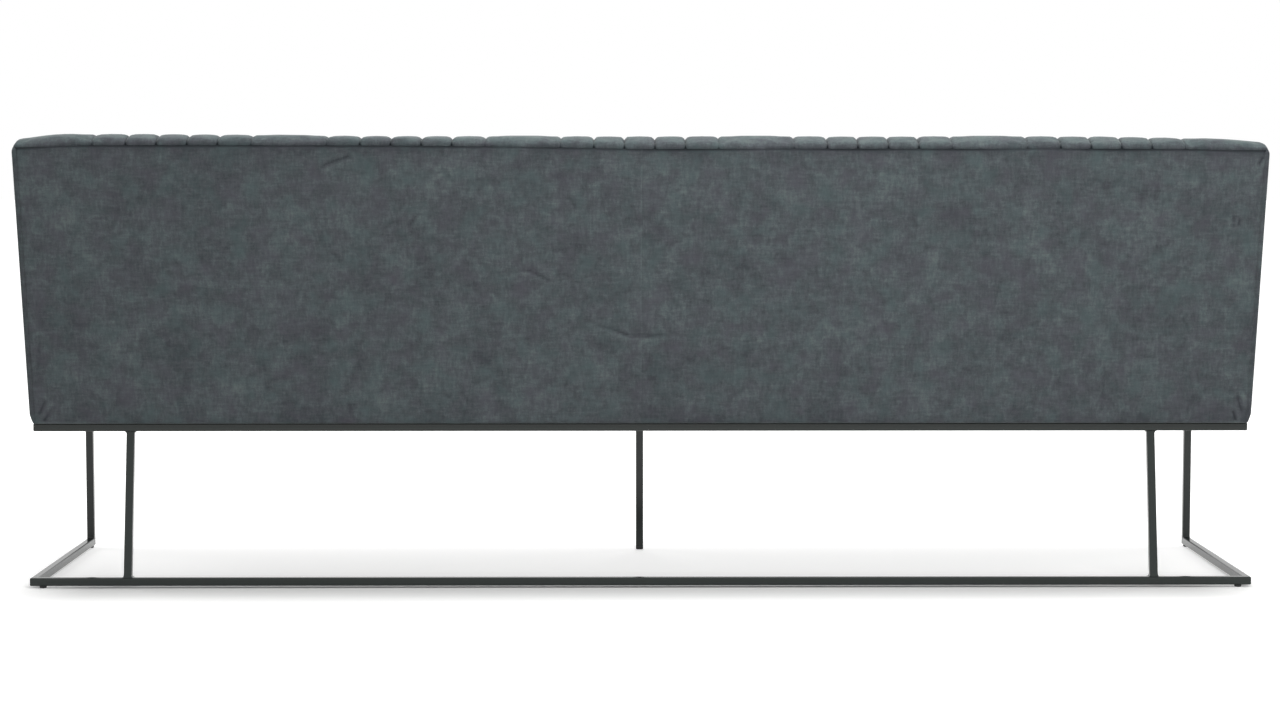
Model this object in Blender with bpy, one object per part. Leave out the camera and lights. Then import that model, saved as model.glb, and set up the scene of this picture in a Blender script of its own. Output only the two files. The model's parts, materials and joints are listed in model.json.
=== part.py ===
"""Dining sofa: an upholstered bench with a leaned back, on a welded frame of square steel tube.

Metres, +Z up. The sofa faces -Y and its length runs along X. The origin lies on the floor under the
middle of the bounding box. Left is the -X end, as seen from the front.
"""

import math

import bmesh
import bpy
from mathutils import Matrix, Vector

# Clearance between pieces that touch
GAP = 0.0003

# Steel frame
FRAME_WIDTH = 2.270  # outside, along X
FLOOR_FRAME_DEPTH = 0.550  # front of the front legs to the rear of the rear floor bar
TOP_FRAME_DEPTH = 0.500  # outside, along Y
RAIL_TOP = 0.303  # upper face of the top rails above the floor
TUBE = 0.015  # outside of the square tube
TUBE_WALL = 0.0015
TUBE_INNER_CORNER = 0.0006  # radius inside the tube's corners
REAR_LEG_INSET = 0.181  # side of the frame to the middle of a rear leg
CENTRE_LEG_SETBACK = 0.035  # centre leg behind the front legs

# Feet
FLOOR_CLEARANCE = 0.0045  # under the floor bars
GLIDE_RADIUS = 0.0068
GLIDE_FLAT_RADIUS = 0.0042  # flat that rests on the floor
GLIDE_RIM = 0.0014  # upright part of a glide's side
REAR_GLIDE_INSET = 0.023  # side of the frame to a rear glide's middle
FRONT_GLIDE_INSET = 0.015  # front of the frame to a front glide's middle
FOOT_HEIGHT = 0.006  # foot plug below the centre leg
FOOT_ROUND = 0.003
FOOT_STEM = 0.014  # foot plug inside the centre leg

# Tabs and screws that hold the body on the frame
TAB_THICKNESS = 0.003
TAB_WIDTH = 0.030
TAB_END = 0.011  # tab beyond its screw
SCREW_SETBACK = 0.012  # screw from the end of the timber, or from the rail, that it clears
SCREW_RADIUS = 0.002
SCREW_LENGTH = 0.030
SCREW_HEAD_RADIUS = 0.0045
SCREW_HEAD_HEIGHT = 0.0026
SCREW_HEAD_FLAT = 0.0032  # radius of the flat on the head
SCREW_HEAD_ROUND = 0.0013  # height of the head's rounded edge

# Body
FRONT_OVERHANG = 0.026  # body in front of the frame
REAR_OVERHANG = 0.018  # body behind the rear top rail
BACK_LEAN = math.radians(10.6)
BACK_HEIGHT = 0.522  # along the lean, from the underside to the seam along the top
SIDE_FLARE = 0.005  # each side, from the underside to the seam along the top
SEAT_THICKNESS = 0.182  # underside of the body to the crest of the seat

# Timber carcass
TIMBER = 0.025  # thickness of the seat rails
TIMBER_HEIGHT = 0.070  # seat rails
CROSS_RAIL_HEIGHT = 0.055
CROSS_RAIL_PLACE = 0.400  # middle of each cross rail from the middle of the sofa
CORNER_BLOCK = 0.055  # short side of a corner block
CORNER_BLOCK_HEIGHT = 0.045
POST_WIDTH = 0.040
POST_DEPTH = 0.040
INNER_POST_PLACE = 0.545  # middle of each inner post from the middle of the sofa
TOP_RAIL_HEIGHT = 0.022
TOP_RAIL_DROP = 0.010  # top rail below the seam along the top
LOWER_RAIL = 0.018  # thickness of the rail across the front of the posts
LOWER_RAIL_HEIGHT = 0.060
LOWER_RAIL_RISE = 0.020  # lower rail above the foot of the back pad
BACK_BOARD = 0.003

# Suspension
WEBBING = 0.002
STRAP_WIDTH = 0.060
SEAT_STRAPS = 11
SEAT_CROSS_STRAPS = 3
BACK_STRAPS = 11
BACK_CROSS_STRAPS = 3
FELT = 0.003

# Upholstery
COVER = 0.006  # cloth and wadding on the seat and the sides
OUTER_COVER = 0.004  # cloth and wadding on the outside of the back
OUTER_COVER_ROUND = 0.0015
BORDER_ROUND = 0.005  # upright corners of the front border
DUST_COVER = 0.0012
BACK_FOAM = 0.0315
SEAT_CROWN = 0.012
CROWN_REACH = 0.85  # part of the way to the middle over which the seat still rises
SEAT_EDGE_RADIUS = 0.020
SEAT_CORNER_RADIUS = 0.014
SEAT_DRAW_IN = 0.003  # long sides of the seat between their corners
SEAT_SEAM_DROP = 0.045  # seam around the seat below its crest
QUILT = 0.011  # quilted cover at the crest of a channel
QUILT_STITCH = 0.005  # quilted cover at a stitch line
QUILT_SEAM_SHARE = 0.4  # height of the channels at the rear seam, of that at the front
NARROW_CHANNEL = 0.0555
NARROW_IN_GROUP = 3
GROUP_END_CHANNEL = 0.0605  # first and last channel of a group
WIDE_CHANNEL = 0.137  # between groups
END_FALL = 0.070  # over which the channels sink towards each end of the back
END_ROUND = 0.009  # the crest's ends drawn in from the sides
TOP_CREST_RISE = 0.0035  # top of the foam above the rear seam
TOP_REAR_ROUND = 0.015  # rear seam's inner edge to the crest of the foam
TOP_FRONT_DROP = 0.045  # where the rounded top meets the straight front, below the rear seam

# Facets of the round pieces, and the angle above which an edge stays sharp
GLIDE_SIDES = 14
SCREW_SIDES = 12
SHARP_ANGLE = math.radians(40)

# Colour, roughness and metallic value of each finish
FINISHES = {
    "powder_coat": ("#3C4142", 0.55, 0.0),
    "zinc_plated": ("#A7A9A8", 0.35, 1.0),
    "black_plastic": ("#1B1C1D", 0.50, 0.0),
    "softwood": ("#C9A878", 0.70, 0.0),
    "fibreboard": ("#8A6B49", 0.80, 0.0),
    "webbing": ("#2F2F31", 0.85, 0.0),
    "felt": ("#8D8D88", 0.95, 0.0),
    "foam": ("#E4DDC4", 0.90, 0.0),
    "velvet": ("#4C5255", 0.85, 0.0),
    "dust_cloth": ("#161617", 0.95, 0.0),
}

# Places that follow from the sizes above
half_frame = FRAME_WIDTH / 2
half_tube = TUBE / 2
corner_x = half_frame - half_tube
lean_sine = math.sin(BACK_LEAN)
lean_cosine = math.cos(BACK_LEAN)
depth = FRONT_OVERHANG + TOP_FRAME_DEPTH + REAR_OVERHANG + BACK_HEIGHT * lean_sine

body_front = -depth / 2
frame_front = body_front + FRONT_OVERHANG
front_leg_y = frame_front + half_tube
rear_rail_y = frame_front + TOP_FRAME_DEPTH - half_tube
rear_floor_y = frame_front + FLOOR_FRAME_DEPTH - half_tube
body_rear = frame_front + TOP_FRAME_DEPTH + REAR_OVERHANG

floor_bar_z = FLOOR_CLEARANCE + half_tube
rail_z = RAIL_TOP - half_tube
body_bottom = RAIL_TOP + GAP
carcass_bottom = body_bottom + DUST_COVER + GAP
carcass_top = carcass_bottom + TIMBER_HEIGHT
webbing_bottom = carcass_top + GAP
felt_bottom = webbing_bottom + WEBBING + GAP
foam_bottom = felt_bottom + FELT + GAP
seat_top = body_bottom + SEAT_THICKNESS
seat_seam = seat_top - SEAT_SEAM_DROP

carcass_half = half_frame - COVER - GAP
carcass_front = body_front + COVER + GAP

# Layers of the back, as distances in from its rear face
board_rear = OUTER_COVER + GAP
post_rear = board_rear + BACK_BOARD + GAP
post_front = post_rear + POST_DEPTH
lower_rail_rear = post_front + GAP
lower_rail_front = lower_rail_rear + LOWER_RAIL
back_webbing_rear = lower_rail_front + GAP
back_foam_rear = back_webbing_rear + WEBBING + GAP
quilt_rear = back_foam_rear + BACK_FOAM + GAP
quilt_front = quilt_rear + QUILT

# Heights in the back, as distances up its rear face
top_rail_top = BACK_HEIGHT - TOP_RAIL_DROP
post_top = top_rail_top - TOP_RAIL_HEIGHT - GAP
pad_foot = (foam_bottom - body_bottom - back_foam_rear * lean_sine) / lean_cosine
lower_rail_foot = pad_foot + LOWER_RAIL_RISE
top_crest = QUILT + TOP_REAR_ROUND


def back_point(inward, up):
    """(y, z) of a point of the back, from its distance in from the rear face and up along it."""
    y = body_rear + up * lean_sine - inward * lean_cosine
    z = body_bottom + up * lean_cosine + inward * lean_sine
    return y, z


def back_plane_y(inward, z):
    """y at height z on the plane that lies this far in from the rear face."""
    up = (z - body_bottom - inward * lean_sine) / lean_cosine
    return back_point(inward, up)[0]


def half_width(inward, up):
    """Half the width of the back at a point of it: the sides flare out towards the top."""
    height = back_point(inward, up)[1] - body_bottom
    return half_frame + SIDE_FLARE * height / (BACK_HEIGHT * lean_cosine)


post_foot_front = back_plane_y(post_front, carcass_top)
rear_timber_rear = post_foot_front - GAP
rear_timber_front = rear_timber_rear - TIMBER
front_timber_rear = carcass_front + TIMBER
cross_rear = rear_timber_front - GAP
cross_front = front_timber_rear + GAP
front_screw_y = front_leg_y + half_tube + SCREW_SETBACK
rear_screw_y = cross_rear - SCREW_SETBACK


def linear(hex_colour):
    """Linear colour with alpha, from sRGB hex."""
    shares = [int(hex_colour[i : i + 2], 16) / 255 for i in (1, 3, 5)]
    return [s / 12.92 if s <= 0.04045 else ((s + 0.055) / 1.055) ** 2.4 for s in shares] + [1.0]


def make_material(piece, finish):
    colour, roughness, metallic = FINISHES[finish]
    material = bpy.data.materials.new(f"{piece}_{finish}")
    material.use_nodes = True
    shader = material.node_tree.nodes["Principled BSDF"]
    shader.inputs["Base Color"].default_value = linear(colour)
    shader.inputs["Roughness"].default_value = roughness
    shader.inputs["Metallic"].default_value = metallic
    return material


def add_empty(name, location, tilt=0.0, parent=None):
    empty = bpy.data.objects.new(name, None)
    empty.location = location
    empty.rotation_euler.x = tilt
    empty.parent = parent
    bpy.context.scene.collection.objects.link(empty)
    return empty


def add_piece(name, bm, finish, parent, location=(0.0, 0.0, 0.0), smooth=False):
    """Turns a bmesh into a named object under its group."""
    bmesh.ops.recalc_face_normals(bm, faces=bm.faces)
    mesh = bpy.data.meshes.new(name)
    bm.to_mesh(mesh)
    bm.free()
    if smooth:
        mesh.shade_smooth()
        mesh.set_sharp_from_angle(angle=SHARP_ANGLE)
    mesh.materials.append(make_material(name, finish))
    piece = bpy.data.objects.new(name, mesh)
    piece.parent = parent
    piece.location = location
    bpy.context.scene.collection.objects.link(piece)
    return piece


def add_box(name, low, high, finish, parent, rounding=0.0):
    """A block between two corners, with its origin in its middle and, if asked, softened edges."""
    low, high = Vector(low), Vector(high)
    bm = bmesh.new()
    bmesh.ops.create_cube(bm, size=1.0)
    bmesh.ops.scale(bm, vec=high - low, verts=bm.verts)
    if rounding:
        bmesh.ops.bevel(
            bm, geom=bm.edges[:], offset=rounding, segments=2, profile=0.5, affect="EDGES", material=-1
        )
    return add_piece(name, bm, finish, parent, (low + high) / 2)


def extrude_outline(points, thickness):
    """A bmesh of a flat outline, given as vectors, thickened by a vector."""
    bm = bmesh.new()
    outline = bm.faces.new([bm.verts.new(p) for p in points])
    made = bmesh.ops.extrude_face_region(bm, geom=[outline], use_keep_orig=True)
    moved = [v for v in made["geom"] if isinstance(v, bmesh.types.BMVert)]
    bmesh.ops.translate(bm, vec=thickness, verts=moved)
    return bm


def turned(profile, steps):
    """A bmesh of a profile of (radius, height) points, from axis to axis, turned about Z."""
    bm = bmesh.new()
    line = [bm.verts.new((radius, 0.0, height)) for radius, height in profile]
    edges = [bm.edges.new(pair) for pair in zip(line, line[1:])]
    bmesh.ops.spin(
        bm, geom=line + edges, cent=(0, 0, 0), axis=(0, 0, 1), angle=math.tau, steps=steps, use_merge=True
    )
    bmesh.ops.remove_doubles(bm, verts=bm.verts, dist=1e-6)
    return bm


def cut_hole(piece, cutter):
    hole = piece.modifiers.new(f"hole_for_{cutter.name}", "BOOLEAN")
    hole.operation = "DIFFERENCE"
    hole.solver = "EXACT"
    hole.object = cutter


# Steel frame


def add_tube(name, start, end, across, start_cut=(0.0, 0.0), end_cut=(0.0, 0.0)):
    """A hollow square tube between two points of its centre line.

    A cut says how far that end runs on along the tube for each metre along its two cross axes, so
    (1, 0) is a mitre across the first of them. The second cross axis is along x across.
    """
    start, end, across = Vector(start), Vector(end), Vector(across)
    along = (end - start).normalized()
    length = (end - start).length
    bm = bmesh.new()
    bmesh.ops.create_cube(bm, size=1.0)
    bmesh.ops.scale(bm, vec=(TUBE, TUBE, length), verts=bm.verts)
    bmesh.ops.translate(bm, vec=(0.0, 0.0, length / 2), verts=bm.verts)
    corners = [e for e in bm.edges if abs(e.verts[0].co.z - e.verts[1].co.z) > length / 2]
    rounding = TUBE_INNER_CORNER + TUBE_WALL
    bmesh.ops.bevel(bm, geom=corners, offset=rounding, segments=2, profile=0.5, affect="EDGES", material=-1)
    ends = [f for f in bm.faces if abs(f.normal.z) > 0.9]
    bmesh.ops.inset_individual(bm, faces=ends, thickness=TUBE_WALL, use_even_offset=True)
    mouths = [e for f in ends for e in f.edges]
    bmesh.ops.delete(bm, geom=ends, context="FACES_ONLY")
    bmesh.ops.bridge_loops(bm, edges=mouths)
    for vertex in bm.verts:
        cut = start_cut if vertex.co.z < length / 2 else end_cut
        vertex.co.z += cut[0] * vertex.co.x + cut[1] * vertex.co.y
    tube = add_piece(name, bm, "powder_coat", steel_frame)
    tube.location = start
    tube.rotation_euler = Matrix((across, along.cross(across), along)).transposed().to_euler()
    return tube


def add_cross_bar(name, y, z, rear_is_outside):
    """A bar along X, mitred at both ends."""
    reach = corner_x - GAP / math.sqrt(2)
    slope = 1.0 if rear_is_outside else -1.0
    add_tube(name, (-reach, y, z), (reach, y, z), (0, 1, 0), (-slope, 0.0), (slope, 0.0))


def add_floor_frame():
    mitre = GAP / math.sqrt(2)
    leg_top = RAIL_TOP - TUBE - GAP
    add_cross_bar("rear_floor_bar", rear_floor_y, floor_bar_z, True)
    for name, side in (("left", -1.0), ("right", 1.0)):
        x = side * corner_x
        rear = (x, rear_floor_y - mitre, floor_bar_z)
        front = (x, front_leg_y + mitre, floor_bar_z)
        add_tube(f"{name}_floor_bar", rear, front, (1, 0, 0), (-side, 0.0), (0.0, -1.0))
        foot = (x, front_leg_y, floor_bar_z + mitre)
        head = (x, front_leg_y, leg_top)
        add_tube(f"{name}_front_leg", foot, head, (1, 0, 0), (0.0, 1.0))


def add_rear_legs():
    foot_z = floor_bar_z + half_tube + GAP
    head_z = rail_z - half_tube - GAP
    level = -(rear_floor_y - rear_rail_y) / (head_z - foot_z)
    for name, side in (("left", -1.0), ("right", 1.0)):
        x = side * (half_frame - REAR_LEG_INSET)
        foot = (x, rear_floor_y, foot_z)
        head = (x, rear_rail_y, head_z)
        add_tube(f"{name}_rear_leg", foot, head, (1, 0, 0), (0.0, level), (0.0, level))


def add_top_frame():
    mitre = GAP / math.sqrt(2)
    add_cross_bar("rear_top_rail", rear_rail_y, rail_z, True)
    add_cross_bar("front_top_rail", front_leg_y, rail_z, False)
    for name, side in (("left", -1.0), ("right", 1.0)):
        x = side * corner_x
        rear = (x, rear_rail_y - mitre, rail_z)
        front = (x, front_leg_y + mitre, rail_z)
        add_tube(f"{name}_top_rail", rear, front, (1, 0, 0), (-side, 0.0), (side, 0.0))
    rear = (0.0, rear_rail_y - half_tube - GAP, rail_z)
    front = (0.0, front_leg_y + half_tube + GAP, rail_z)
    add_tube("centre_cross_rail", rear, front, (1, 0, 0))


def add_centre_leg():
    y = front_leg_y + CENTRE_LEG_SETBACK
    foot = (0.0, y, FOOT_HEIGHT + GAP)
    head = (0.0, y, rail_z - half_tube - GAP)
    add_tube("centre_leg", foot, head, (1, 0, 0))
    # The foot plug is a rounded pad with a stem that fills the tube's mouth.
    bm = bmesh.new()
    bmesh.ops.create_cube(bm, size=1.0)
    bmesh.ops.scale(bm, vec=(TUBE, TUBE, FOOT_HEIGHT), verts=bm.verts)
    upper = [f for f in bm.faces if f.normal.z > 0.9]
    bmesh.ops.inset_individual(
        bm, faces=upper, thickness=TUBE_WALL + TUBE_INNER_CORNER + GAP, use_even_offset=True
    )
    stem = bmesh.ops.extrude_face_region(bm, geom=upper)
    raised = [v for v in stem["geom"] if isinstance(v, bmesh.types.BMVert)]
    bmesh.ops.translate(bm, vec=(0.0, 0.0, FOOT_STEM), verts=raised)
    bmesh.ops.delete(bm, geom=upper, context="FACES")
    lower = [e for e in bm.edges if all(v.co.z < 0.0 for v in e.verts)]
    bmesh.ops.bevel(bm, geom=lower, offset=FOOT_ROUND, segments=3, profile=0.5, affect="EDGES", material=-1)
    add_piece("centre_leg_foot", bm, "black_plastic", steel_frame, (0.0, y, FOOT_HEIGHT / 2))


def add_glides():
    """Dome glides under the corners of the floor frame."""
    height = FLOOR_CLEARANCE - GAP
    dome = height - GLIDE_RIM
    steps = 4
    profile = [(0.0, 0.0)]
    for i in range(steps + 1):
        turn = i / steps * math.pi / 2
        radius = GLIDE_FLAT_RADIUS + (GLIDE_RADIUS - GLIDE_FLAT_RADIUS) * math.sin(turn)
        profile.append((radius, dome * (1.0 - math.cos(turn))))
    profile += [(GLIDE_RADIUS, height), (0.0, height)]
    for name, side in (("left", -1.0), ("right", 1.0)):
        rear = (side * (half_frame - REAR_GLIDE_INSET), rear_floor_y, 0.0)
        front = (side * corner_x, frame_front + FRONT_GLIDE_INSET, 0.0)
        for place, spot in (("rear", rear), ("front", front)):
            glide = turned(profile, GLIDE_SIDES)
            add_piece(f"{place}_{name}_glide", glide, "black_plastic", steel_frame, spot, True)


def add_fixings():
    """Tabs inside the front and rear top rails, with the screws that go up through them."""
    tab_bottom = RAIL_TOP - TAB_THICKNESS
    rails = (
        ("rear", rear_rail_y - half_tube - GAP, rear_screw_y, -1.0),
        ("front", front_leg_y + half_tube + GAP, front_screw_y, 1.0),
    )
    head_top = tab_bottom - GAP
    head_bottom = head_top - SCREW_HEAD_HEIGHT
    profile = [
        (0.0, head_bottom),
        (SCREW_HEAD_FLAT, head_bottom),
        (SCREW_HEAD_RADIUS, head_bottom + SCREW_HEAD_ROUND),
        (SCREW_HEAD_RADIUS, head_top),
        (SCREW_RADIUS, head_top),
        (SCREW_RADIUS, head_top + SCREW_LENGTH - SCREW_RADIUS * 2),
        (0.0, head_top + SCREW_LENGTH),
    ]
    hole_radius = SCREW_RADIUS + GAP
    hole = [
        (0.0, head_bottom),
        (hole_radius, head_bottom),
        (hole_radius, head_top + SCREW_LENGTH + GAP),
        (0.0, head_top + SCREW_LENGTH + GAP),
    ]
    cutters = []
    for name, side in (("left", -1.0), ("right", 1.0)):
        x = side * CROSS_RAIL_PLACE
        for place, rail_face, screw_y, inward in rails:
            tab_end = screw_y + inward * TAB_END
            low = (x - TAB_WIDTH / 2, min(rail_face, tab_end), tab_bottom)
            high = (x + TAB_WIDTH / 2, max(rail_face, tab_end), RAIL_TOP)
            tab = add_box(f"{place}_{name}_tab", low, high, "powder_coat", steel_frame)
            spot = (x, screw_y, 0.0)
            screw = turned(profile, SCREW_SIDES)
            add_piece(f"{place}_{name}_screw", screw, "zinc_plated", steel_frame, spot, True)
            hole_name = f"{place}_{name}_screw_hole"
            cutter = add_piece(hole_name, turned(hole, SCREW_SIDES), "zinc_plated", steel_frame, spot)
            cutter.hide_render = True
            cutter.display_type = "WIRE"
            cut_hole(tab, cutter)
            cutters.append(cutter)
    return cutters


# Timber carcass


def add_seat_rails():
    front_rear = (
        ("seat_front_rail", carcass_front, front_timber_rear),
        ("seat_rear_rail", rear_timber_front, rear_timber_rear),
    )
    for name, near, far in front_rear:
        low = (-carcass_half, near, carcass_bottom)
        add_box(name, low, (carcass_half, far, carcass_top), "softwood", carcass)
    for name, side in (("left", -1.0), ("right", 1.0)):
        xs = sorted((side * carcass_half, side * (carcass_half - TIMBER)))
        low = (xs[0], cross_front, carcass_bottom)
        add_box(f"seat_{name}_rail", low, (xs[1], cross_rear, carcass_top), "softwood", carcass)


def add_cross_rails(cutters):
    for name, side in (("left", -1.0), ("right", 1.0)):
        x = side * CROSS_RAIL_PLACE
        low = (x - TIMBER / 2, cross_front, carcass_bottom)
        high = (x + TIMBER / 2, cross_rear, carcass_bottom + CROSS_RAIL_HEIGHT)
        rail = add_box(f"{name}_seat_cross_rail", low, high, "softwood", carcass)
        for cutter in cutters:
            if cutter.location.x * side > 0.0:
                cut_hole(rail, cutter)


def add_corner_blocks():
    inner_x = carcass_half - TIMBER - GAP
    rise = Vector((0.0, 0.0, CORNER_BLOCK_HEIGHT))
    for name, side in (("left", -1.0), ("right", 1.0)):
        for place, y, inward in (("front", cross_front, 1.0), ("rear", cross_rear, -1.0)):
            corner = Vector((side * inner_x, y, carcass_bottom))
            outline = [
                corner,
                corner - Vector((side * CORNER_BLOCK, 0.0, 0.0)),
                corner + Vector((0.0, inward * CORNER_BLOCK, 0.0)),
            ]
            add_piece(f"{place}_{name}_corner_block", extrude_outline(outline, rise), "softwood", carcass)


def add_back_posts():
    """Sawn posts: they lean with the back, and their feet are upright where the seat rail meets them."""
    post_rear_y = back_plane_y(post_rear, carcass_bottom)
    outline = [
        (post_rear_y, carcass_bottom),
        back_point(post_rear, post_top),
        back_point(post_front, post_top),
        (post_foot_front, carcass_top),
        (post_foot_front, carcass_bottom),
    ]
    outer_place = carcass_half - POST_WIDTH / 2
    posts = (
        ("left_back_post", -outer_place),
        ("left_inner_back_post", -INNER_POST_PLACE),
        ("centre_back_post", 0.0),
        ("right_inner_back_post", INNER_POST_PLACE),
        ("right_back_post", outer_place),
    )
    for name, x in posts:
        points = [Vector((-POST_WIDTH / 2, y, z)) for y, z in outline]
        bm = extrude_outline(points, Vector((POST_WIDTH, 0.0, 0.0)))
        add_piece(name, bm, "softwood", carcass, (x, 0.0, 0.0))


def add_back_slab(name, inward, up, finish):
    """A full-width slab of the carcass, between two distances in and two distances up."""
    low = (-carcass_half, -inward[1], up[0])
    return add_box(name, low, (carcass_half, -inward[0], up[1]), finish, back)


def add_back_rails():
    top = (post_top + GAP, top_rail_top)
    lower = (lower_rail_foot, lower_rail_foot + LOWER_RAIL_HEIGHT)
    board_foot = (carcass_bottom - body_bottom) / lean_cosine
    add_back_slab("back_top_rail", (post_rear, lower_rail_front), top, "softwood")
    add_back_slab("back_lower_rail", (lower_rail_rear, lower_rail_front), lower, "softwood")
    board = (board_rear, board_rear + BACK_BOARD)
    add_back_slab("back_board", board, (board_foot, top_rail_top), "fibreboard")


# Suspension


def strap_edges(low, high, count):
    """Edges of straps spread evenly from low to high, with one at each end."""
    pitch = (high - low - STRAP_WIDTH) / (count - 1)
    starts = [low + i * pitch for i in range(count)]
    return [edge for start in starts for edge in (start, start + STRAP_WIDTH)]


def add_webbing(name, low, high, counts, parent):
    """Straps along both directions, sewn into one net at their crossings."""
    columns = strap_edges(low[0], high[0], counts[0])
    rows = strap_edges(low[1], high[1], counts[1])
    bm = bmesh.new()
    grid = [[bm.verts.new((x, y, 0.0)) for x in columns] for y in rows]
    for r in range(len(rows) - 1):
        for c in range(len(columns) - 1):
            if r % 2 == 0 or c % 2 == 0:
                bm.faces.new((grid[r][c], grid[r][c + 1], grid[r + 1][c + 1], grid[r + 1][c]))
    made = bmesh.ops.extrude_face_region(bm, geom=bm.faces[:], use_keep_orig=True)
    moved = [v for v in made["geom"] if isinstance(v, bmesh.types.BMVert)]
    bmesh.ops.translate(bm, vec=(0.0, 0.0, WEBBING), verts=moved)
    return add_piece(name, bm, "webbing", parent)


def add_suspension():
    half = carcass_half
    counts = (SEAT_STRAPS, SEAT_CROSS_STRAPS)
    seat_net = add_webbing("seat_webbing", (-half, carcass_front), (half, rear_timber_rear), counts, carcass)
    seat_net.location.z = webbing_bottom
    # The back's net is made flat and stood up against the front of the two back rails.
    counts = (BACK_STRAPS, BACK_CROSS_STRAPS)
    back_net = add_webbing("back_webbing", (-half, lower_rail_foot), (half, top_rail_top), counts, back)
    back_net.location.y = -back_webbing_rear
    back_net.rotation_euler.x = math.pi / 2
    low = (-half, carcass_front, felt_bottom)
    add_box("seat_felt", low, (half, rear_timber_rear, felt_bottom + FELT), "felt", carcass)


# Upholstery


def pad_curve(offset):
    """(inward, up, normal) along the quilted cover's inner face, drawn in by an offset.

    It runs from the rear seam over the rounded top and down the front to the foot of the pad.
    """
    points = []
    seam = BACK_HEIGHT + GAP
    rear = (TOP_REAR_ROUND - offset, TOP_CREST_RISE - offset)
    for turn in (0.0, 45.0, 90.0):
        c, s = math.cos(math.radians(turn)), math.sin(math.radians(turn))
        normal = Vector((-c * rear[1], s * rear[0])).normalized()
        points.append((top_crest - rear[0] * c, seam + rear[1] * s, normal))
    spring = BACK_HEIGHT - TOP_FRONT_DROP
    front = (quilt_rear - top_crest - offset, seam + TOP_CREST_RISE - spring - offset)
    for turn in (22.5, 45.0, 67.5, 90.0):
        c, s = math.cos(math.radians(turn)), math.sin(math.radians(turn))
        normal = Vector((s * front[1], c * front[0])).normalized()
        points.append((top_crest + front[0] * s, spring + front[1] * c, normal))
    for up in ((spring + pad_foot) / 2, pad_foot):
        points.append((quilt_rear - offset, up, Vector((1.0, 0.0))))
    return points


def stitch_lines():
    """Places along X where the cover is sewn through: groups of narrow channels between wide ones."""
    channels = [GROUP_END_CHANNEL] + [NARROW_CHANNEL] * NARROW_IN_GROUP + [GROUP_END_CHANNEL]
    pitch = sum(channels) + WIDE_CHANNEL
    width = 2 * (half_frame + SIDE_FLARE)
    groups = max(1, math.floor((width - WIDE_CHANNEL) / pitch))
    lines = []
    for group in range(groups):
        place = (group - (groups - 1) / 2) * pitch - sum(channels) / 2
        lines.append(place)
        for channel in channels:
            place += channel
            lines.append(place)
    return lines


def quilt_columns():
    """(x, share) along the quilted cover, where share goes from 0 at a stitch line to 1 at a crest."""
    end = half_frame
    lines = [-end] + stitch_lines() + [end]
    columns = []
    for start, stop in zip(lines, lines[1:]):
        width = stop - start
        rise = END_FALL if start == -end else NARROW_CHANNEL / 2
        fall = END_FALL if stop == end else NARROW_CHANNEL / 2
        room = min(1.0, width / (rise + fall))
        rise *= room
        fall *= room
        steps = [0.0, rise / 3, rise]
        if width - fall > rise + GAP:
            steps.append(width - fall)
        steps.append(width - fall / 3)
        for step in steps:
            edge = min(step / rise, (width - step) / fall, 1.0)
            columns.append((start + step, 1.0 - (1.0 - edge) ** 2))
    columns.append((end, 0.0))
    return columns


def add_back_cover():
    """The quilted cover: channels outside, a plain face against the foam, closed along its edges."""
    curve = pad_curve(0.0)
    columns = quilt_columns()
    fades = [QUILT_SEAM_SHARE, (1.0 + QUILT_SEAM_SHARE) / 2] + [1.0] * (len(curve) - 2)
    bm = bmesh.new()
    outer, inner = [], []
    for (inward, up, normal), fade in zip(curve, fades):
        side = half_width(inward, up) - END_ROUND * normal.y**2
        stretch = side / half_frame
        inner.append([bm.verts.new((x, -inward, up)) for x in (-side, side)])
        row = []
        for x, share in columns:
            thick = QUILT_STITCH + (QUILT - QUILT_STITCH) * share * fade
            row.append(bm.verts.new((x * stretch, -inward - normal.x * thick, up + normal.y * thick)))
        outer.append(row)
    for i in range(len(curve) - 1):
        for a, b, c, d in zip(outer[i], outer[i][1:], outer[i + 1][1:], outer[i + 1]):
            bm.faces.new((a, b, c, d))
        bm.faces.new((inner[i][1], inner[i][0], inner[i + 1][0], inner[i + 1][1]))
        bm.faces.new((inner[i][0], outer[i][0], outer[i + 1][0], inner[i + 1][0]))
        bm.faces.new((outer[i][-1], inner[i][1], inner[i + 1][1], outer[i + 1][-1]))
    for k in (0, -1):
        bm.faces.new(outer[k] + inner[k][::-1])
    add_piece("back_cover", bm, "velvet", back, smooth=True)


def pad_outline(offset):
    """Section of the back pad inside the quilted cover, from the rear seam to the pad's foot."""
    return [(inward, up) for inward, up, normal in pad_curve(offset)[1:]]


def add_back_foam():
    section = [
        (back_foam_rear, pad_foot),
        (back_foam_rear, top_rail_top + GAP),
        (post_rear, top_rail_top + GAP),
        (post_rear, BACK_HEIGHT),
        (QUILT + GAP, BACK_HEIGHT),
    ] + pad_outline(GAP)
    points = [Vector((-carcass_half, -inward, up)) for inward, up in section]
    add_piece("back_foam", extrude_outline(points, Vector((2 * carcass_half, 0.0, 0.0))), "foam", back)


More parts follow.
